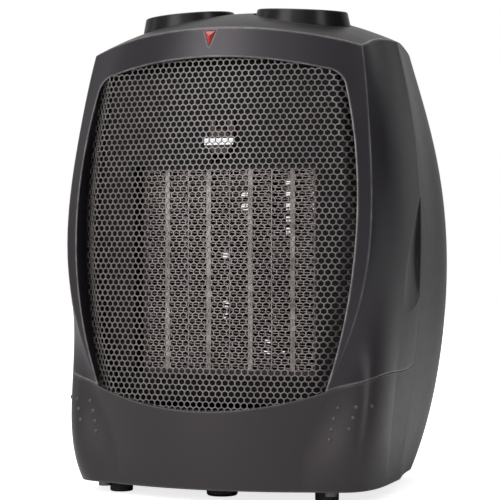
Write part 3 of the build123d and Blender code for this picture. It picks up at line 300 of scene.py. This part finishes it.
def maths(tree, operation, first, second=0.0, third=None, clamp=False):
    item = tree.nodes.new("ShaderNodeMath")
    item.operation = operation
    item.use_clamp = clamp
    put(tree, item.inputs[0], first)
    put(tree, item.inputs[1], second)
    if third is not None:
        put(tree, item.inputs[2], third)
    return item.outputs[0]


def noise(tree, place, scale, detail=2.0, roughness=0.5):
    item = node(tree, "TexNoise", Vector=place, Scale=scale, Detail=detail, Roughness=roughness)
    return item.outputs["Fac"]


def spread(tree, value, low, high, to_low, to_high):
    """Map a value from one range to another, clamped."""
    item = node(tree, "MapRange", From_Min=low, From_Max=high, To_Min=to_low, To_Max=to_high, Value=value)
    item.clamp = True
    return item.outputs["Result"]


def blend_colours(tree, share, first, second):
    item = tree.nodes.new("ShaderNodeMix")
    item.data_type = "RGBA"
    put(tree, item.inputs[0], share)
    put(tree, item.inputs[6], first)
    put(tree, item.inputs[7], second)
    return item.outputs[2]


def object_place(tree):
    return tree.nodes.new("ShaderNodeTexCoord").outputs["Object"]


def make_moulded_group():
    """Spark-eroded plastic: fine grain, uneven sheen, rounded edges, and a lighter edge colour that is partly
    rubbed wear and partly a painted highlight on creases and rims.
    """
    tree, given, result = group(
        "Moulded plastic skin",
        [
            ("Colour", "Color", (0.02, 0.02, 0.02, 1)),
            ("Rubbed Colour", "Color", (0.08, 0.08, 0.08, 1)),
            ("Sheen Roughness", "Float", 0.4),
            ("Grain Scale", "Float", 2200.0),
            ("Grain Depth", "Float", 0.3),
            ("Rub", "Float", 0.5),
            ("Edge Radius", "Float", 0.0006),
        ],
        [("Color", "Color"), ("Roughness", "Float"), ("Normal", "Vector")],
    )
    place = object_place(tree)
    cloud = noise(tree, place, 22.0, 3.0)
    blotch = noise(tree, place, 160.0, 2.0)
    cells = node(tree, "TexVoronoi", Vector=place, Scale=given.outputs["Grain Scale"])
    fine = noise(tree, place, 5200.0, 1.0)
    height = maths(tree, "MULTIPLY_ADD", fine, 0.5, cells.outputs["Distance"])
    rounded = bevelled(tree, given.outputs["Edge Radius"])
    skin = node(
        tree, "Bump", Strength=given.outputs["Grain Depth"], Distance=GRAIN_HEIGHT,
        Height=height, Normal=rounded,
    )
    true_normal = tree.nodes.new("ShaderNodeNewGeometry").outputs["Normal"]
    # lighter colour near edges: partly rubbed wear, partly a painted highlight line along creases and rims
    dot = vector_maths(tree, "DOT_PRODUCT", bevelled(tree, RUB_AND_HIGHLIGHT_REACH), true_normal)
    edge = spread(tree, dot.outputs["Value"], 0.995, 0.86, 0.0, 1.0)
    patchy = spread(tree, blotch, 0.35, 0.65, 0.55, 1.0)
    edge_rub_and_highlight = maths(tree, "MULTIPLY", edge, patchy)
    edge_rub_and_highlight = maths(tree, "MULTIPLY", edge_rub_and_highlight, given.outputs["Rub"])
    tone = spread(tree, cloud, 0.3, 0.7, 0.95, 1.05)
    tinted = vector_maths(tree, "SCALE", given.outputs["Colour"], tone)
    colour = blend_colours(tree, edge_rub_and_highlight, tinted.outputs["Vector"], given.outputs["Rubbed Colour"])
    uneven = spread(tree, blotch, 0.3, 0.7, -0.015, 0.015)
    broad = spread(tree, cloud, 0.3, 0.7, -0.015, 0.015)
    sheen = maths(tree, "ADD", given.outputs["Sheen Roughness"], uneven)
    sheen = maths(tree, "ADD", sheen, broad)
    sheen = maths(tree, "MULTIPLY_ADD", edge_rub_and_highlight, -0.1, sheen, clamp=True)
    wire(tree, result, Color=colour, Roughness=sheen, Normal=skin.outputs["Normal"])
    return tree


def make_dust_group():
    """Thin dust that lies on what faces up."""
    tree, given, result = group(
        "Settled dust",
        [
            ("Color", "Color", (0.02, 0.02, 0.02, 1)),
            ("Dust Colour", "Color", (0.30, 0.28, 0.25, 1)),
            ("Amount", "Float", 0.05),
        ],
        [("Color", "Color"), ("Mask", "Float")],
    )
    normal = tree.nodes.new("ShaderNodeNewGeometry").outputs["Normal"]
    split = node(tree, "SeparateXYZ", Vector=normal)
    facing_up = spread(tree, split.outputs["Z"], 0.35, 0.95, 0.0, 1.0)
    place = object_place(tree)
    drift = spread(tree, noise(tree, place, 60.0, 6.0, 0.65), 0.4, 0.7, 0.2, 1.0)
    specks = spread(tree, noise(tree, place, 1900.0, 2.0), 0.60, 0.68, 0.0, 1.0)
    cover = maths(tree, "MULTIPLY", facing_up, maths(tree, "MULTIPLY_ADD", specks, 0.6, drift))
    cover = maths(tree, "MULTIPLY", cover, given.outputs["Amount"], clamp=True)
    colour = blend_colours(tree, cover, given.outputs["Color"], given.outputs["Dust Colour"])
    wire(tree, result, Color=colour, Mask=cover)
    return tree


def make_metal_group():
    """Rolled or drawn metal: streaks along one axis, tarnish clouds, softened edges."""
    tree, given, result = group(
        "Worked metal",
        [
            ("Colour", "Color", (0.6, 0.6, 0.6, 1)),
            ("Tarnish Colour", "Color", (0.3, 0.25, 0.2, 1)),
            ("Sheen Roughness", "Float", 0.35),
            ("Tarnish", "Float", 0.3),
            ("Streak Stretch", "Vector", (1.0, 1.0, 12.0)),
            ("Streak Depth", "Float", 0.2),
        ],
        [("Color", "Color"), ("Roughness", "Float"), ("Normal", "Vector")],
    )
    place = object_place(tree)
    squeezed = vector_maths(tree, "DIVIDE", place, given.outputs["Streak Stretch"])
    streaks = noise(tree, squeezed.outputs["Vector"], 2600.0, 3.0)
    cloud = noise(tree, place, 90.0, 5.0, 0.6)
    mask = spread(tree, cloud, 0.42, 0.68, 0.0, 1.0)
    mask = maths(tree, "MULTIPLY", mask, given.outputs["Tarnish"])
    colour = blend_colours(tree, mask, given.outputs["Colour"], given.outputs["Tarnish Colour"])
    sheen = maths(tree, "ADD", given.outputs["Sheen Roughness"], spread(tree, streaks, 0.3, 0.7, -0.08, 0.08))
    sheen = maths(tree, "MULTIPLY_ADD", mask, 0.2, sheen, clamp=True)
    bump = node(
        tree, "Bump", Strength=given.outputs["Streak Depth"], Distance=STREAK_HEIGHT,
        Height=streaks, Normal=bevelled(tree, FINE_EDGE),
    )
    wire(tree, result, Color=colour, Roughness=sheen, Normal=bump.outputs["Normal"])
    return tree


MOULDED = make_moulded_group()
DUST = make_dust_group()
METAL = make_metal_group()


def blank_material(name, **constants):
    """Material with one Principled BSDF; constants are set on its own sockets."""
    material = bpy.data.materials.new(name)
    material.use_nodes = True
    shader = material.node_tree.nodes["Principled BSDF"]
    for label, value in constants.items():
        shader.inputs[label.replace("_", " ")].default_value = value
    return material, material.node_tree, shader


def use_group(tree, source, **values):
    item = tree.nodes.new("ShaderNodeGroup")
    item.node_tree = source
    for label, value in values.items():
        put(tree, item.inputs[label.replace("_", " ")], value)
    return item


def plastic(
    name, colour, edge_rub_and_highlight, roughness, grain=2200.0, depth=0.3, rub_and_highlight_amount=0.5, dust=0.04, edge=0.0006, level=0.4,
    tint=(1.0, 0.95, 0.96, 1),
):
    material, tree, shader = blank_material(name, Specular_IOR_Level=level, Specular_Tint=tint)
    # the edge colour and its amount paint a highlight along edges as well as rubbed wear
    skin = use_group(
        tree, MOULDED, Colour=(*colour, 1), Rubbed_Colour=(*edge_rub_and_highlight, 1), Sheen_Roughness=roughness,
        Grain_Scale=grain, Grain_Depth=depth, Rub=rub_and_highlight_amount, Edge_Radius=edge,
    )
    dusty = use_group(tree, DUST, Color=skin.outputs["Color"], Amount=dust)
    rough = maths(tree, "MULTIPLY_ADD", dusty.outputs["Mask"], 0.3, skin.outputs["Roughness"], clamp=True)
    wire(tree, shader, Base_Color=dusty.outputs["Color"], Roughness=rough, Normal=skin.outputs["Normal"])
    return material


def metal(name, colour, tarnish_colour, roughness, tarnish=0.3, stretch=(1, 1, 12), streak=0.2):
    material, tree, shader = blank_material(name, Metallic=1.0)
    skin = use_group(
        tree, METAL, Colour=(*colour, 1), Tarnish_Colour=(*tarnish_colour, 1), Sheen_Roughness=roughness,
        Tarnish=tarnish, Streak_Stretch=stretch, Streak_Depth=streak,
    )
    wire(
        tree, shader, Base_Color=skin.outputs["Color"], Roughness=skin.outputs["Roughness"],
        Normal=skin.outputs["Normal"],
    )
    return material


# name, colour, rubbed-edge colour with painted edge highlight (tarnish colour for metals), roughness, then
# what differs from the usual finish
MATERIALS = {
    # the housing's light edge colour is a painted highlight line along the bezel crease and the outlet rim
    "housing": plastic("Charcoal satin housing", (0.0140, 0.0125, 0.0155), (0.34, 0.32, 0.31), 0.32,
                       edge=0.0011, rub_and_highlight_amount=0.9, tint=(1.0, 0.93, 0.99, 1)),
    "crown": plastic("Charcoal satin crown", (0.0135, 0.0128, 0.0130), (0.16, 0.155, 0.155), 0.34,
                     edge=0.0007),
    "base": plastic("Charcoal satin base", (0.0200, 0.0172, 0.0182), (0.20, 0.19, 0.185), 0.36,
                    edge=0.0007, tint=(1.0, 0.93, 0.96, 1)),
    "rear": plastic("Charcoal satin rear", (0.0205, 0.0190, 0.0215), (0.14, 0.14, 0.14), 0.38,
                    edge=0.0007, tint=(1.0, 0.95, 1.0, 1)),
    "dial": plastic("Black dial", (0.009, 0.009, 0.009), (0.06, 0.06, 0.06), 0.26,
                    depth=0.1, edge=0.0005, level=0.22),
    "pointer": plastic("White pointer paint", (0.62, 0.62, 0.60), (0.5, 0.5, 0.5), 0.45, depth=0.1, rub_and_highlight_amount=0.2),
    # the screen's light edge colour paints highlights onto its thin webs
    "mesh": plastic("Black coated screen", (0.040, 0.036, 0.037), (0.30, 0.265, 0.26), 0.28, grain=5200.0,
                    depth=0.15, rub_and_highlight_amount=0.8, dust=0.12, edge=0.0002, level=0.6),
    "baffle": plastic("Black coated baffle", (0.008, 0.007, 0.007), (0.03, 0.03, 0.03), 0.40,
                      depth=0.1, dust=0.02, level=0.1),
    "inner_plastic": plastic("Black inner plastic", (0.012, 0.012, 0.012), (0.05, 0.05, 0.05), 0.5),
    "heat_plastic": plastic("Brown heatproof plastic", (0.035, 0.026, 0.02), (0.1, 0.08, 0.06), 0.5),
    "bakelite": plastic("Brown pressed resin", (0.05, 0.028, 0.018), (0.12, 0.08, 0.05), 0.45),
    "switch_plastic": plastic("Switch body plastic", (0.03, 0.03, 0.032), (0.1, 0.1, 0.1), 0.45),
    "fan_plastic": plastic("Grey fan plastic", (0.05, 0.05, 0.052), (0.15, 0.15, 0.15), 0.4),
    "ceramic": metal("Strip facing", (0.34, 0.30, 0.28), (0.13, 0.10, 0.085), 0.42,
                     tarnish=0.8, stretch=(1, 1, 4)),
    "fin_aluminium": metal("Fin aluminium", (0.34, 0.28, 0.265), (0.15, 0.10, 0.09), 0.34, tarnish=0.6),
    "brass": metal("Tab brass", (0.55, 0.38, 0.16), (0.3, 0.2, 0.1), 0.3),
    "bright_steel": metal("Bright steel", (0.56, 0.56, 0.57), (0.3, 0.28, 0.26), 0.25),
    "screw_steel": metal("Blackened screw steel", (0.09, 0.09, 0.09), (0.14, 0.1, 0.08), 0.35),
    "motor_can": metal("Zinc plated can", (0.45, 0.45, 0.44), (0.3, 0.27, 0.2), 0.3),
    "lamp_glass": plastic("Lamp envelope", (0.6, 0.35, 0.2), (0.7, 0.5, 0.4), 0.1, depth=0.0, rub_and_highlight_amount=0.0),
    "foot_rubber": plastic("Black foot rubber", (0.014, 0.014, 0.014), (0.05, 0.05, 0.05), 0.7, grain=1400.0),
}


def red_lens_material():
    material, tree, shader = blank_material(
        "Red pilot lens", Specular_IOR_Level=0.5, Transmission_Weight=0.15
    )
    place = object_place(tree)
    swirl = spread(tree, noise(tree, place, 420.0, 3.0), 0.3, 0.7, 0.0, 1.0)
    colour = blend_colours(tree, swirl, (0.26, 0.008, 0.010, 1), (0.46, 0.040, 0.036, 1))
    rough = spread(tree, swirl, 0.0, 1.0, 0.12, 0.22)
    wire(tree, shader, Base_Color=colour, Roughness=rough, Normal=bevelled(tree, FINE_EDGE))
    return material


MATERIALS["red_lens"] = red_lens_material()


# ================================================================ hex screen
def three_point_arc(first, middle, last):
    """Points of the arc through three points."""
    ax, ay = first
    bx, by = middle
    cx, cy = last
    d = 2 * (ax * (by - cy) + bx * (cy - ay) + cx * (ay - by))
    ux = ((ax**2 + ay**2) * (by - cy) + (bx**2 + by**2) * (cy - ay) + (cx**2 + cy**2) * (ay - by)) / d
    uy = ((ax**2 + ay**2) * (cx - bx) + (bx**2 + by**2) * (ax - cx) + (cx**2 + cy**2) * (bx - ax)) / d
    radius = sqrt((ax - ux) ** 2 + (ay - uy) ** 2)
    start = atan2(ay - uy, ax - ux)
    end = atan2(cy - uy, cx - ux)
    turn = (end - start + pi) % (2 * pi) - pi
    angles = [start + turn * i / ARC_STEPS for i in range(ARC_STEPS + 1)]
    return [(ux + radius * cos(a), uy + radius * sin(a)) for a in angles]


def outlet_side():
    """Right half of the outlet's outline, from the sill's middle up to the arch's middle."""
    left_foot = (-OUTLET_FOOT[0], OUTLET_FOOT[1])
    left_arch = (-OUTLET_ARCH[0], OUTLET_ARCH[1])
    sill = three_point_arc(left_foot, (0, OUTLET_SILL_Z), OUTLET_FOOT)[ARC_STEPS // 2:]
    side = three_point_arc(OUTLET_FOOT, OUTLET_WIDE, OUTLET_SHOULDER)
    arch = three_point_arc(OUTLET_ARCH, (0, OUTLET_TOP_Z), left_arch)[:ARC_STEPS // 2 + 1]
    return sill + side[1:] + [OUTLET_CORNER] + arch


OUTLET_SIDE = outlet_side()


def outlet_half_at(z):
    """Half width of the outlet at a height."""
    reach = 0.0
    for (x0, z0), (x1, z1) in zip(OUTLET_SIDE, OUTLET_SIDE[1:]):
        if min(z0, z1) <= z <= max(z0, z1) and z0 != z1:
            reach = max(reach, x0 + (x1 - x0) * (z - z0) / (z1 - z0))
    return reach


def outlet_distance(x, z):
    """How far a point lies inside the outlet's outline; negative outside."""
    nearest = 1.0
    here = Vector((abs(x), z))
    for first, second in zip(OUTLET_SIDE, OUTLET_SIDE[1:]):
        a = Vector(first)
        b = Vector(second)
        along = max(0.0, min(1.0, (here - a).dot(b - a) / (b - a).length_squared))
        nearest = min(nearest, (here - (a + (b - a) * along)).length)
    inside = abs(x) < outlet_half_at(z)
    return nearest if inside else -nearest


def sag(radius, x):
    """How far an arc falls back from its middle."""
    return radius - sqrt(radius**2 - x**2)


def screen_y(x, z):
    """Depth of the bowed, leaning screen's face, turned back towards its sides."""
    lean = (z - OUTLET_WIDE[1]) * tan(SCREEN_LEAN)
    half = outlet_half_at(min(max(z, OUTLET_FOOT[1]), OUTLET_SHOULDER[1]))
    share = min(1.0, max(0.0, (EDGE_TURN - half + abs(x)) / EDGE_TURN))
    share = share * share * (3 - 2 * share)
    bow = sag(SCREEN_BOW_R, x) * (1 - share) + sag(SCREEN_EDGE_R, x) * share
    return SCREEN_FACE_Y + bow + lean


def proud(place):
    """True where the screen would stand in front of the bezel around it."""
    if outlet_distance(place.x, place.z) > 0:
        return False
    y, _ = surface_at("front_housing", place.x, place.z)
    return y < 0 and place.y < y + SCREEN_COVER


def hex_screen():
    """One hexagonal cell, inset and opened, then repeated, trimmed to the outlet, bowed and thickened."""
    columns = 2 * ceil(OUTLET_WIDE[0] / SCREEN_PITCH) + 2
    rows = 2 * ceil((OUTLET_TOP_Z - OUTLET_SILL_Z) / SCREEN_ROW_STEP / 2 + 1)
    left = -columns * SCREEN_PITCH / 2
    low = OUTLET_SILL_Z - 2 * SCREEN_ROW_STEP
    nothing_selected()
    bpy.ops.mesh.primitive_circle_add(
        vertices=6, radius=SCREEN_PITCH / sqrt(3), fill_type="NGON", rotation=(pi / 2, 0, 0)
    )
    screen = fresh("hex_screen")
    screen.scale.y = SCREEN_ROW_STEP / (SCREEN_PITCH * sqrt(3) / 2)
    settle(screen)
    screen.location = (left, 0, low)
    settle(screen)
    edit(screen)
    bpy.ops.mesh.select_all(action="SELECT")
    bpy.ops.mesh.inset(thickness=SCREEN_WEB / 2, use_boundary=True)
    bpy.ops.mesh.delete(type="FACE")
    bpy.ops.mesh.select_all(action="SELECT")
    bpy.ops.mesh.duplicate_move(TRANSFORM_OT_translate={"value": (SCREEN_PITCH / 2, 0, SCREEN_ROW_STEP)})
    done()
    repeat(screen, "Across", columns, (SCREEN_PITCH, 0, 0))
    repeat(screen, "Up", rows // 2, (0, 0, 2 * SCREEN_ROW_STEP))
    edit(screen)
    bpy.ops.mesh.select_all(action="SELECT")
    bpy.ops.mesh.remove_doubles(threshold=SCREEN_WEB / 20)
    pick(screen, "verts", lambda v: outlet_distance(v.co.x, v.co.z) < -SCREEN_LAP)
    bpy.ops.mesh.delete(type="VERT")
    done()
    for vertex in screen.data.vertices:
        vertex.co.y = screen_y(vertex.co.x, vertex.co.z)
    edit(screen)
    pick(screen, "verts", lambda v: proud(v.co))
    bpy.ops.mesh.delete(type="VERT")
    done()
    modify(screen, "Sheet", "SOLIDIFY", thickness=SCREEN_SHEET, offset=-1)
    tidy_mesh(screen)
    return screen


# ================================================================ fin pack
def module_middles():
    return [(i - (MODULES - 1) / 2) * MODULE_PITCH for i in range(MODULES)]


def fin_box(name, x_low, x_high, z_low, z_high):
    """Box through the element's depth."""
    box = added_box(name)
    box.scale = (x_high - x_low, ELEMENT_DEPTH - 2 * FIN_SETBACK, z_high - z_low)
    box.location = ((x_low + x_high) / 2, ELEMENT_FACE_Y + ELEMENT_DEPTH / 2, (z_low + z_high) / 2)
    return settle(box)


def folded_strip(name, x_low, x_high):
    """A leg with its turn, the pair mirrored above it, then both repeated up the element."""
    step = (ELEMENT_HEIGHT - FIN_SHEET) / FIN_FOLDS
    rise = FIN_TILT * step
    top = ELEMENT_LOW + step + FIN_SHEET
    leg = fin_box(name, x_low, x_high, ELEMENT_LOW, ELEMENT_LOW + FIN_SHEET)
    for vertex in leg.data.vertices:
        vertex.co.z += (vertex.co.x - x_low) / (x_high - x_low) * rise
    turn = fin_box(name + "_turn", x_high - FIN_SHEET, x_high, ELEMENT_LOW + rise, top)
    fold = joined([leg, turn], name)
    mirrored = copied(fold, name + "_back")
    for vertex in mirrored.data.vertices:
        vertex.co.x = x_low + x_high - vertex.co.x
        vertex.co.z += step
    mirrored.data.flip_normals()
    strip = joined([fold, mirrored], name)
    repeat(strip, "Folds", FIN_FOLDS // 2, (0, 0, 2 * step))
    return strip


def fin_pack():
    """In each module, a plate along both sides and folded strips between plate and ceramic."""
    half = BORDER_SHEET / 2
    near = STRIP_WIDTH / 2
    far = MODULE_PITCH / 2 - BORDER_WIDTH / 2
    columns = []
    for index, middle in enumerate(module_middles()):
        for side in MIRRORED:
            edge = middle + side * (MODULE_PITCH / 2 - half)
            name = f"border_{index}_{side}"
            columns.append(fin_box(name, edge - half, edge + half, ELEMENT_LOW, ELEMENT_LOW + ELEMENT_HEIGHT))
        columns.append(folded_strip(f"fins_left_{index}", middle - far, middle - near))
        columns.append(folded_strip(f"fins_right_{index}", middle + near, middle + far))
    return joined(columns, "fin_pack")


# ================================================================ trim
def base_dots():
    """Raised dots in falling rows on both corners of the base."""
    dots = []
    for side in MIRRORED:
        for x, z in BASE_DOTS:
            y, normal = surface_at("base_shell", side * x, z)
            nothing_selected()
            bpy.ops.mesh.primitive_uv_sphere_add(segments=12, ring_count=8, radius=DOT_R)
            dot = fresh(f"dot_{side}_{x}_{z}")
            dot.scale = (1, 1, DOT_FLATNESS)
            dot.rotation_euler = normal.to_track_quat("Z", "Y").to_euler()
            settle(dot)
            dot.location = (side * x, y, z)
            dots.append(settle(dot))
    dots = joined(dots, "base_dots")
    smooth(dots, 60)
    return dots


def dial_turn(side):
    """Rotation of a dial's own axes."""
    upright = Vector((side * tan(DIAL_LEAN_OUT), -tan(DIAL_LEAN_FORWARD), 1)).normalized()
    across = (Vector((1, 0, 0)) - upright * upright.x).normalized()
    return Matrix((across, upright.cross(across), upright)).transposed()


def dial_pointer(name, side):
    """Painted line along the front end of the grip bar."""
    line = added_box(name)
    line.scale = (POINTER_WIDTH, POINTER_LENGTH, POINTER_HEIGHT)
    settle(line)
    modify(line, "Edges", "BEVEL", width=POINTER_HEIGHT / 4, segments=2)
    line.location = (0, -POINTER_REACH + POINTER_LENGTH / 2, 0)
    settle(line)
    line.rotation_euler = dial_turn(side).to_euler()
    line.location = (side * DIAL_X, DIAL_Y, DIAL_TOP_Z)
    return settle(line)


def lens_facets():
    """Three-sided point in front of the pilot lens, on the corners of its own triangle."""
    corners = [v.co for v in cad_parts["pilot_lens"].data.vertices]
    high = max(c.z for c in corners)
    low = min(c.z for c in corners)
    wide = max(c.x for c in corners)
    high_y = min(c.y for c in corners if c.z > high - LENS_CORNER)
    low_y = min(c.y for c in corners if c.z < low + LENS_CORNER)
    nothing_selected()
    bpy.ops.mesh.primitive_cone_add(vertices=3, radius1=1, depth=1, location=(0, 0, 0.5))
    lens = settle(fresh("lens_facets"))
    places = [Vector((-wide, high_y, high)), Vector((wide, high_y, high)), Vector((0, low_y, low))]
    centre = sum(places, Vector()) / 3
    for vertex in lens.data.vertices:
        if vertex.co.z > 0.5:
            vertex.co = centre + Vector((0, -LENS_POINT, 0))
        else:
            vertex.co = places.pop()
    tidy_mesh(lens)
    return lens


# ================================================================ the nodes that stay, and their finishes
SLOT_OF = {
    "front_housing": "housing", "top_cover": "crown", "base_shell": "base", "base_plate": "base",
    "rear_housing": "rear", "grip_cup": "rear", "feet": "foot_rubber", "cord_gland": "foot_rubber",
    "grille_retainer": "inner_plastic", "air_baffle": "baffle", "baffle_screws": "screw_steel",
    "thermal_cutout": "bakelite", "cutout_clip": "bright_steel", "ptc_frame": "heat_plastic",
    "ptc_strips": "ceramic", "ptc_fins": "fin_aluminium", "ptc_terminals": "brass",
    "fan_duct": "inner_plastic", "fan_impeller": "fan_plastic", "motor_shaft": "bright_steel",
    "motor_spider": "inner_plastic", "motor_body": "motor_can", "mode_knob": "dial",
    "thermostat_knob": "dial", "mode_shaft": "bright_steel", "thermostat_shaft": "bright_steel",
    "mode_switch": "bakelite", "thermostat_body": "bakelite", "bush_nuts": "bright_steel",
    "pilot_lens": "red_lens", "pilot_lamp": "lamp_glass", "lamp_holder": "inner_plastic",
    "tip_guide": "inner_plastic", "tip_plunger": "inner_plastic", "tip_spring": "bright_steel",
    "tip_lever": "bright_steel", "micro_switch": "switch_plastic", "terminal_block": "heat_plastic",
    "floor_screws": "screw_steel", "case_screws": "screw_steel", "front_grille": "mesh",
}
for name, slot_name in SLOT_OF.items():
    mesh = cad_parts[name].data
    mesh.materials.clear()
    mesh.materials.append(MATERIALS[slot_name])

finish_piece(hex_screen(), MATERIALS["mesh"], replaced=["front_grille"])
finish_piece(fin_pack(), MATERIALS["fin_aluminium"], replaced=["ptc_fins"])
finish_piece(base_dots(), MATERIALS["base"])
finish_piece(lens_facets(), MATERIALS["red_lens"])
finish_piece(dial_pointer("mode_pointer", -1), MATERIALS["pointer"], body="mode_dial")
finish_piece(dial_pointer("thermostat_pointer", 1), MATERIALS["pointer"], body="thermostat_dial")


# ================================================================ studio
def build_camera():
    back = Vector((sin(VIEW_AZIMUTH), -cos(VIEW_AZIMUTH), 0))
    right = Vector((cos(VIEW_AZIMUTH), sin(VIEW_AZIMUTH), 0))
    data = bpy.data.cameras.new("view")
    data.lens = LENS_MM
    data.sensor_width = SENSOR_MM
    camera = bpy.data.objects.new("view", data)
    camera.location = back * VIEW_DISTANCE + right * VIEW_SIDESTEP + Vector((0, 0, VIEW_HEIGHT))
    camera.rotation_euler = (pi / 2, 0, VIEW_AZIMUTH)
    bpy.context.scene.collection.objects.link(camera)
    bpy.context.scene.camera = camera


def soft_light(name, place, target, size, watts):
    data = bpy.data.lights.new(name, "AREA")
    data.shape = "RECTANGLE"
    data.size, data.size_y = size
    data.energy = watts
    lamp = bpy.data.objects.new(name, data)
    lamp.location = place
    lamp.rotation_euler = (Vector(target) - Vector(place)).to_track_quat("-Z", "Y").to_euler()
    bpy.context.scene.collection.objects.link(lamp)


def build_floor():
    nothing_selected()
    bpy.ops.mesh.primitive_plane_add(size=FLOOR_WIDTH, location=(0, 0, 0))
    floor = fresh("floor")
    material, tree, shader = blank_material("Pale floor", Roughness=0.9, Specular_IOR_Level=0.1)
    place = object_place(tree)
    tone = spread(tree, noise(tree, place, 3.0, 2.0), 0.3, 0.7, 0.0, 1.0)
    colour = blend_colours(tree, tone, (0.86, 0.86, 0.86, 1), (0.90, 0.90, 0.90, 1))
    tree.links.new(colour, shader.inputs["Base Color"])
    shader.inputs["Emission Color"].default_value = (1, 1, 1, 1)
    away = vector_maths(tree, "LENGTH", place)
    glow = spread(tree, away.outputs["Value"], *FLOOR_GLOW_REACH, *FLOOR_GLOW)
    path = tree.nodes.new("ShaderNodeLightPath")
    glow = maths(tree, "MULTIPLY", path.outputs["Is Camera Ray"], glow)
    tree.links.new(glow, shader.inputs["Emission Strength"])
    floor.data.materials.append(material)


def build_world():
    """White to the camera; a shaded room in reflections; an even fill for everything else."""
    world = bpy.data.worlds.new("Studio")
    bpy.context.scene.world = world
    world.use_nodes = True
    tree = world.node_tree
    tree.nodes.clear()
    out = tree.nodes.new("ShaderNodeOutputWorld")
    background = tree.nodes.new("ShaderNodeBackground")
    background.inputs["Color"].default_value = (1, 1, 1, 1)
    path = tree.nodes.new("ShaderNodeLightPath")
    seen = maths(tree, "MAXIMUM", path.outputs["Is Camera Ray"], path.outputs["Is Transmission Ray"])
    direction = node(tree, "SeparateXYZ", Vector=tree.nodes.new("ShaderNodeTexCoord").outputs["Generated"])
    heading = maths(tree, "ARCTAN2", direction.outputs["Y"], direction.outputs["X"])
    share = spread(tree, heading, -pi, pi, 0.0, 1.0)
    curve = tree.nodes.new("ShaderNodeFloatCurve")
    points = curve.mapping.curves[0].points
    top = max(value for degree, value in ROOM)
    while len(points) < len(ROOM):
        points.new(0.5, 0.5)
    for point, (degree, value) in zip(points, ROOM):
        point.location = ((degree + 180) / 360, value / top)
        point.handle_type = "AUTO_CLAMPED"
    curve.mapping.update()
    put(tree, curve.inputs["Value"], share)
    room = maths(tree, "MULTIPLY", curve.outputs["Value"], top)
    glossy = maths(tree, "MULTIPLY", path.outputs["Is Glossy Ray"], room)
    plain = maths(tree, "SUBTRACT", 1.0, maths(tree, "MAXIMUM", seen, path.outputs["Is Glossy Ray"]))
    strength = maths(tree, "ADD", seen, maths(tree, "MULTIPLY_ADD", plain, FILL, glossy))
    tree.links.new(strength, background.inputs["Strength"])
    tree.links.new(background.outputs["Background"], out.inputs["Surface"])


build_camera()
build_floor()
build_world()
for softbox in SOFTBOXES:
    soft_light(*softbox)
bpy.context.scene.view_settings.view_transform = "Standard"
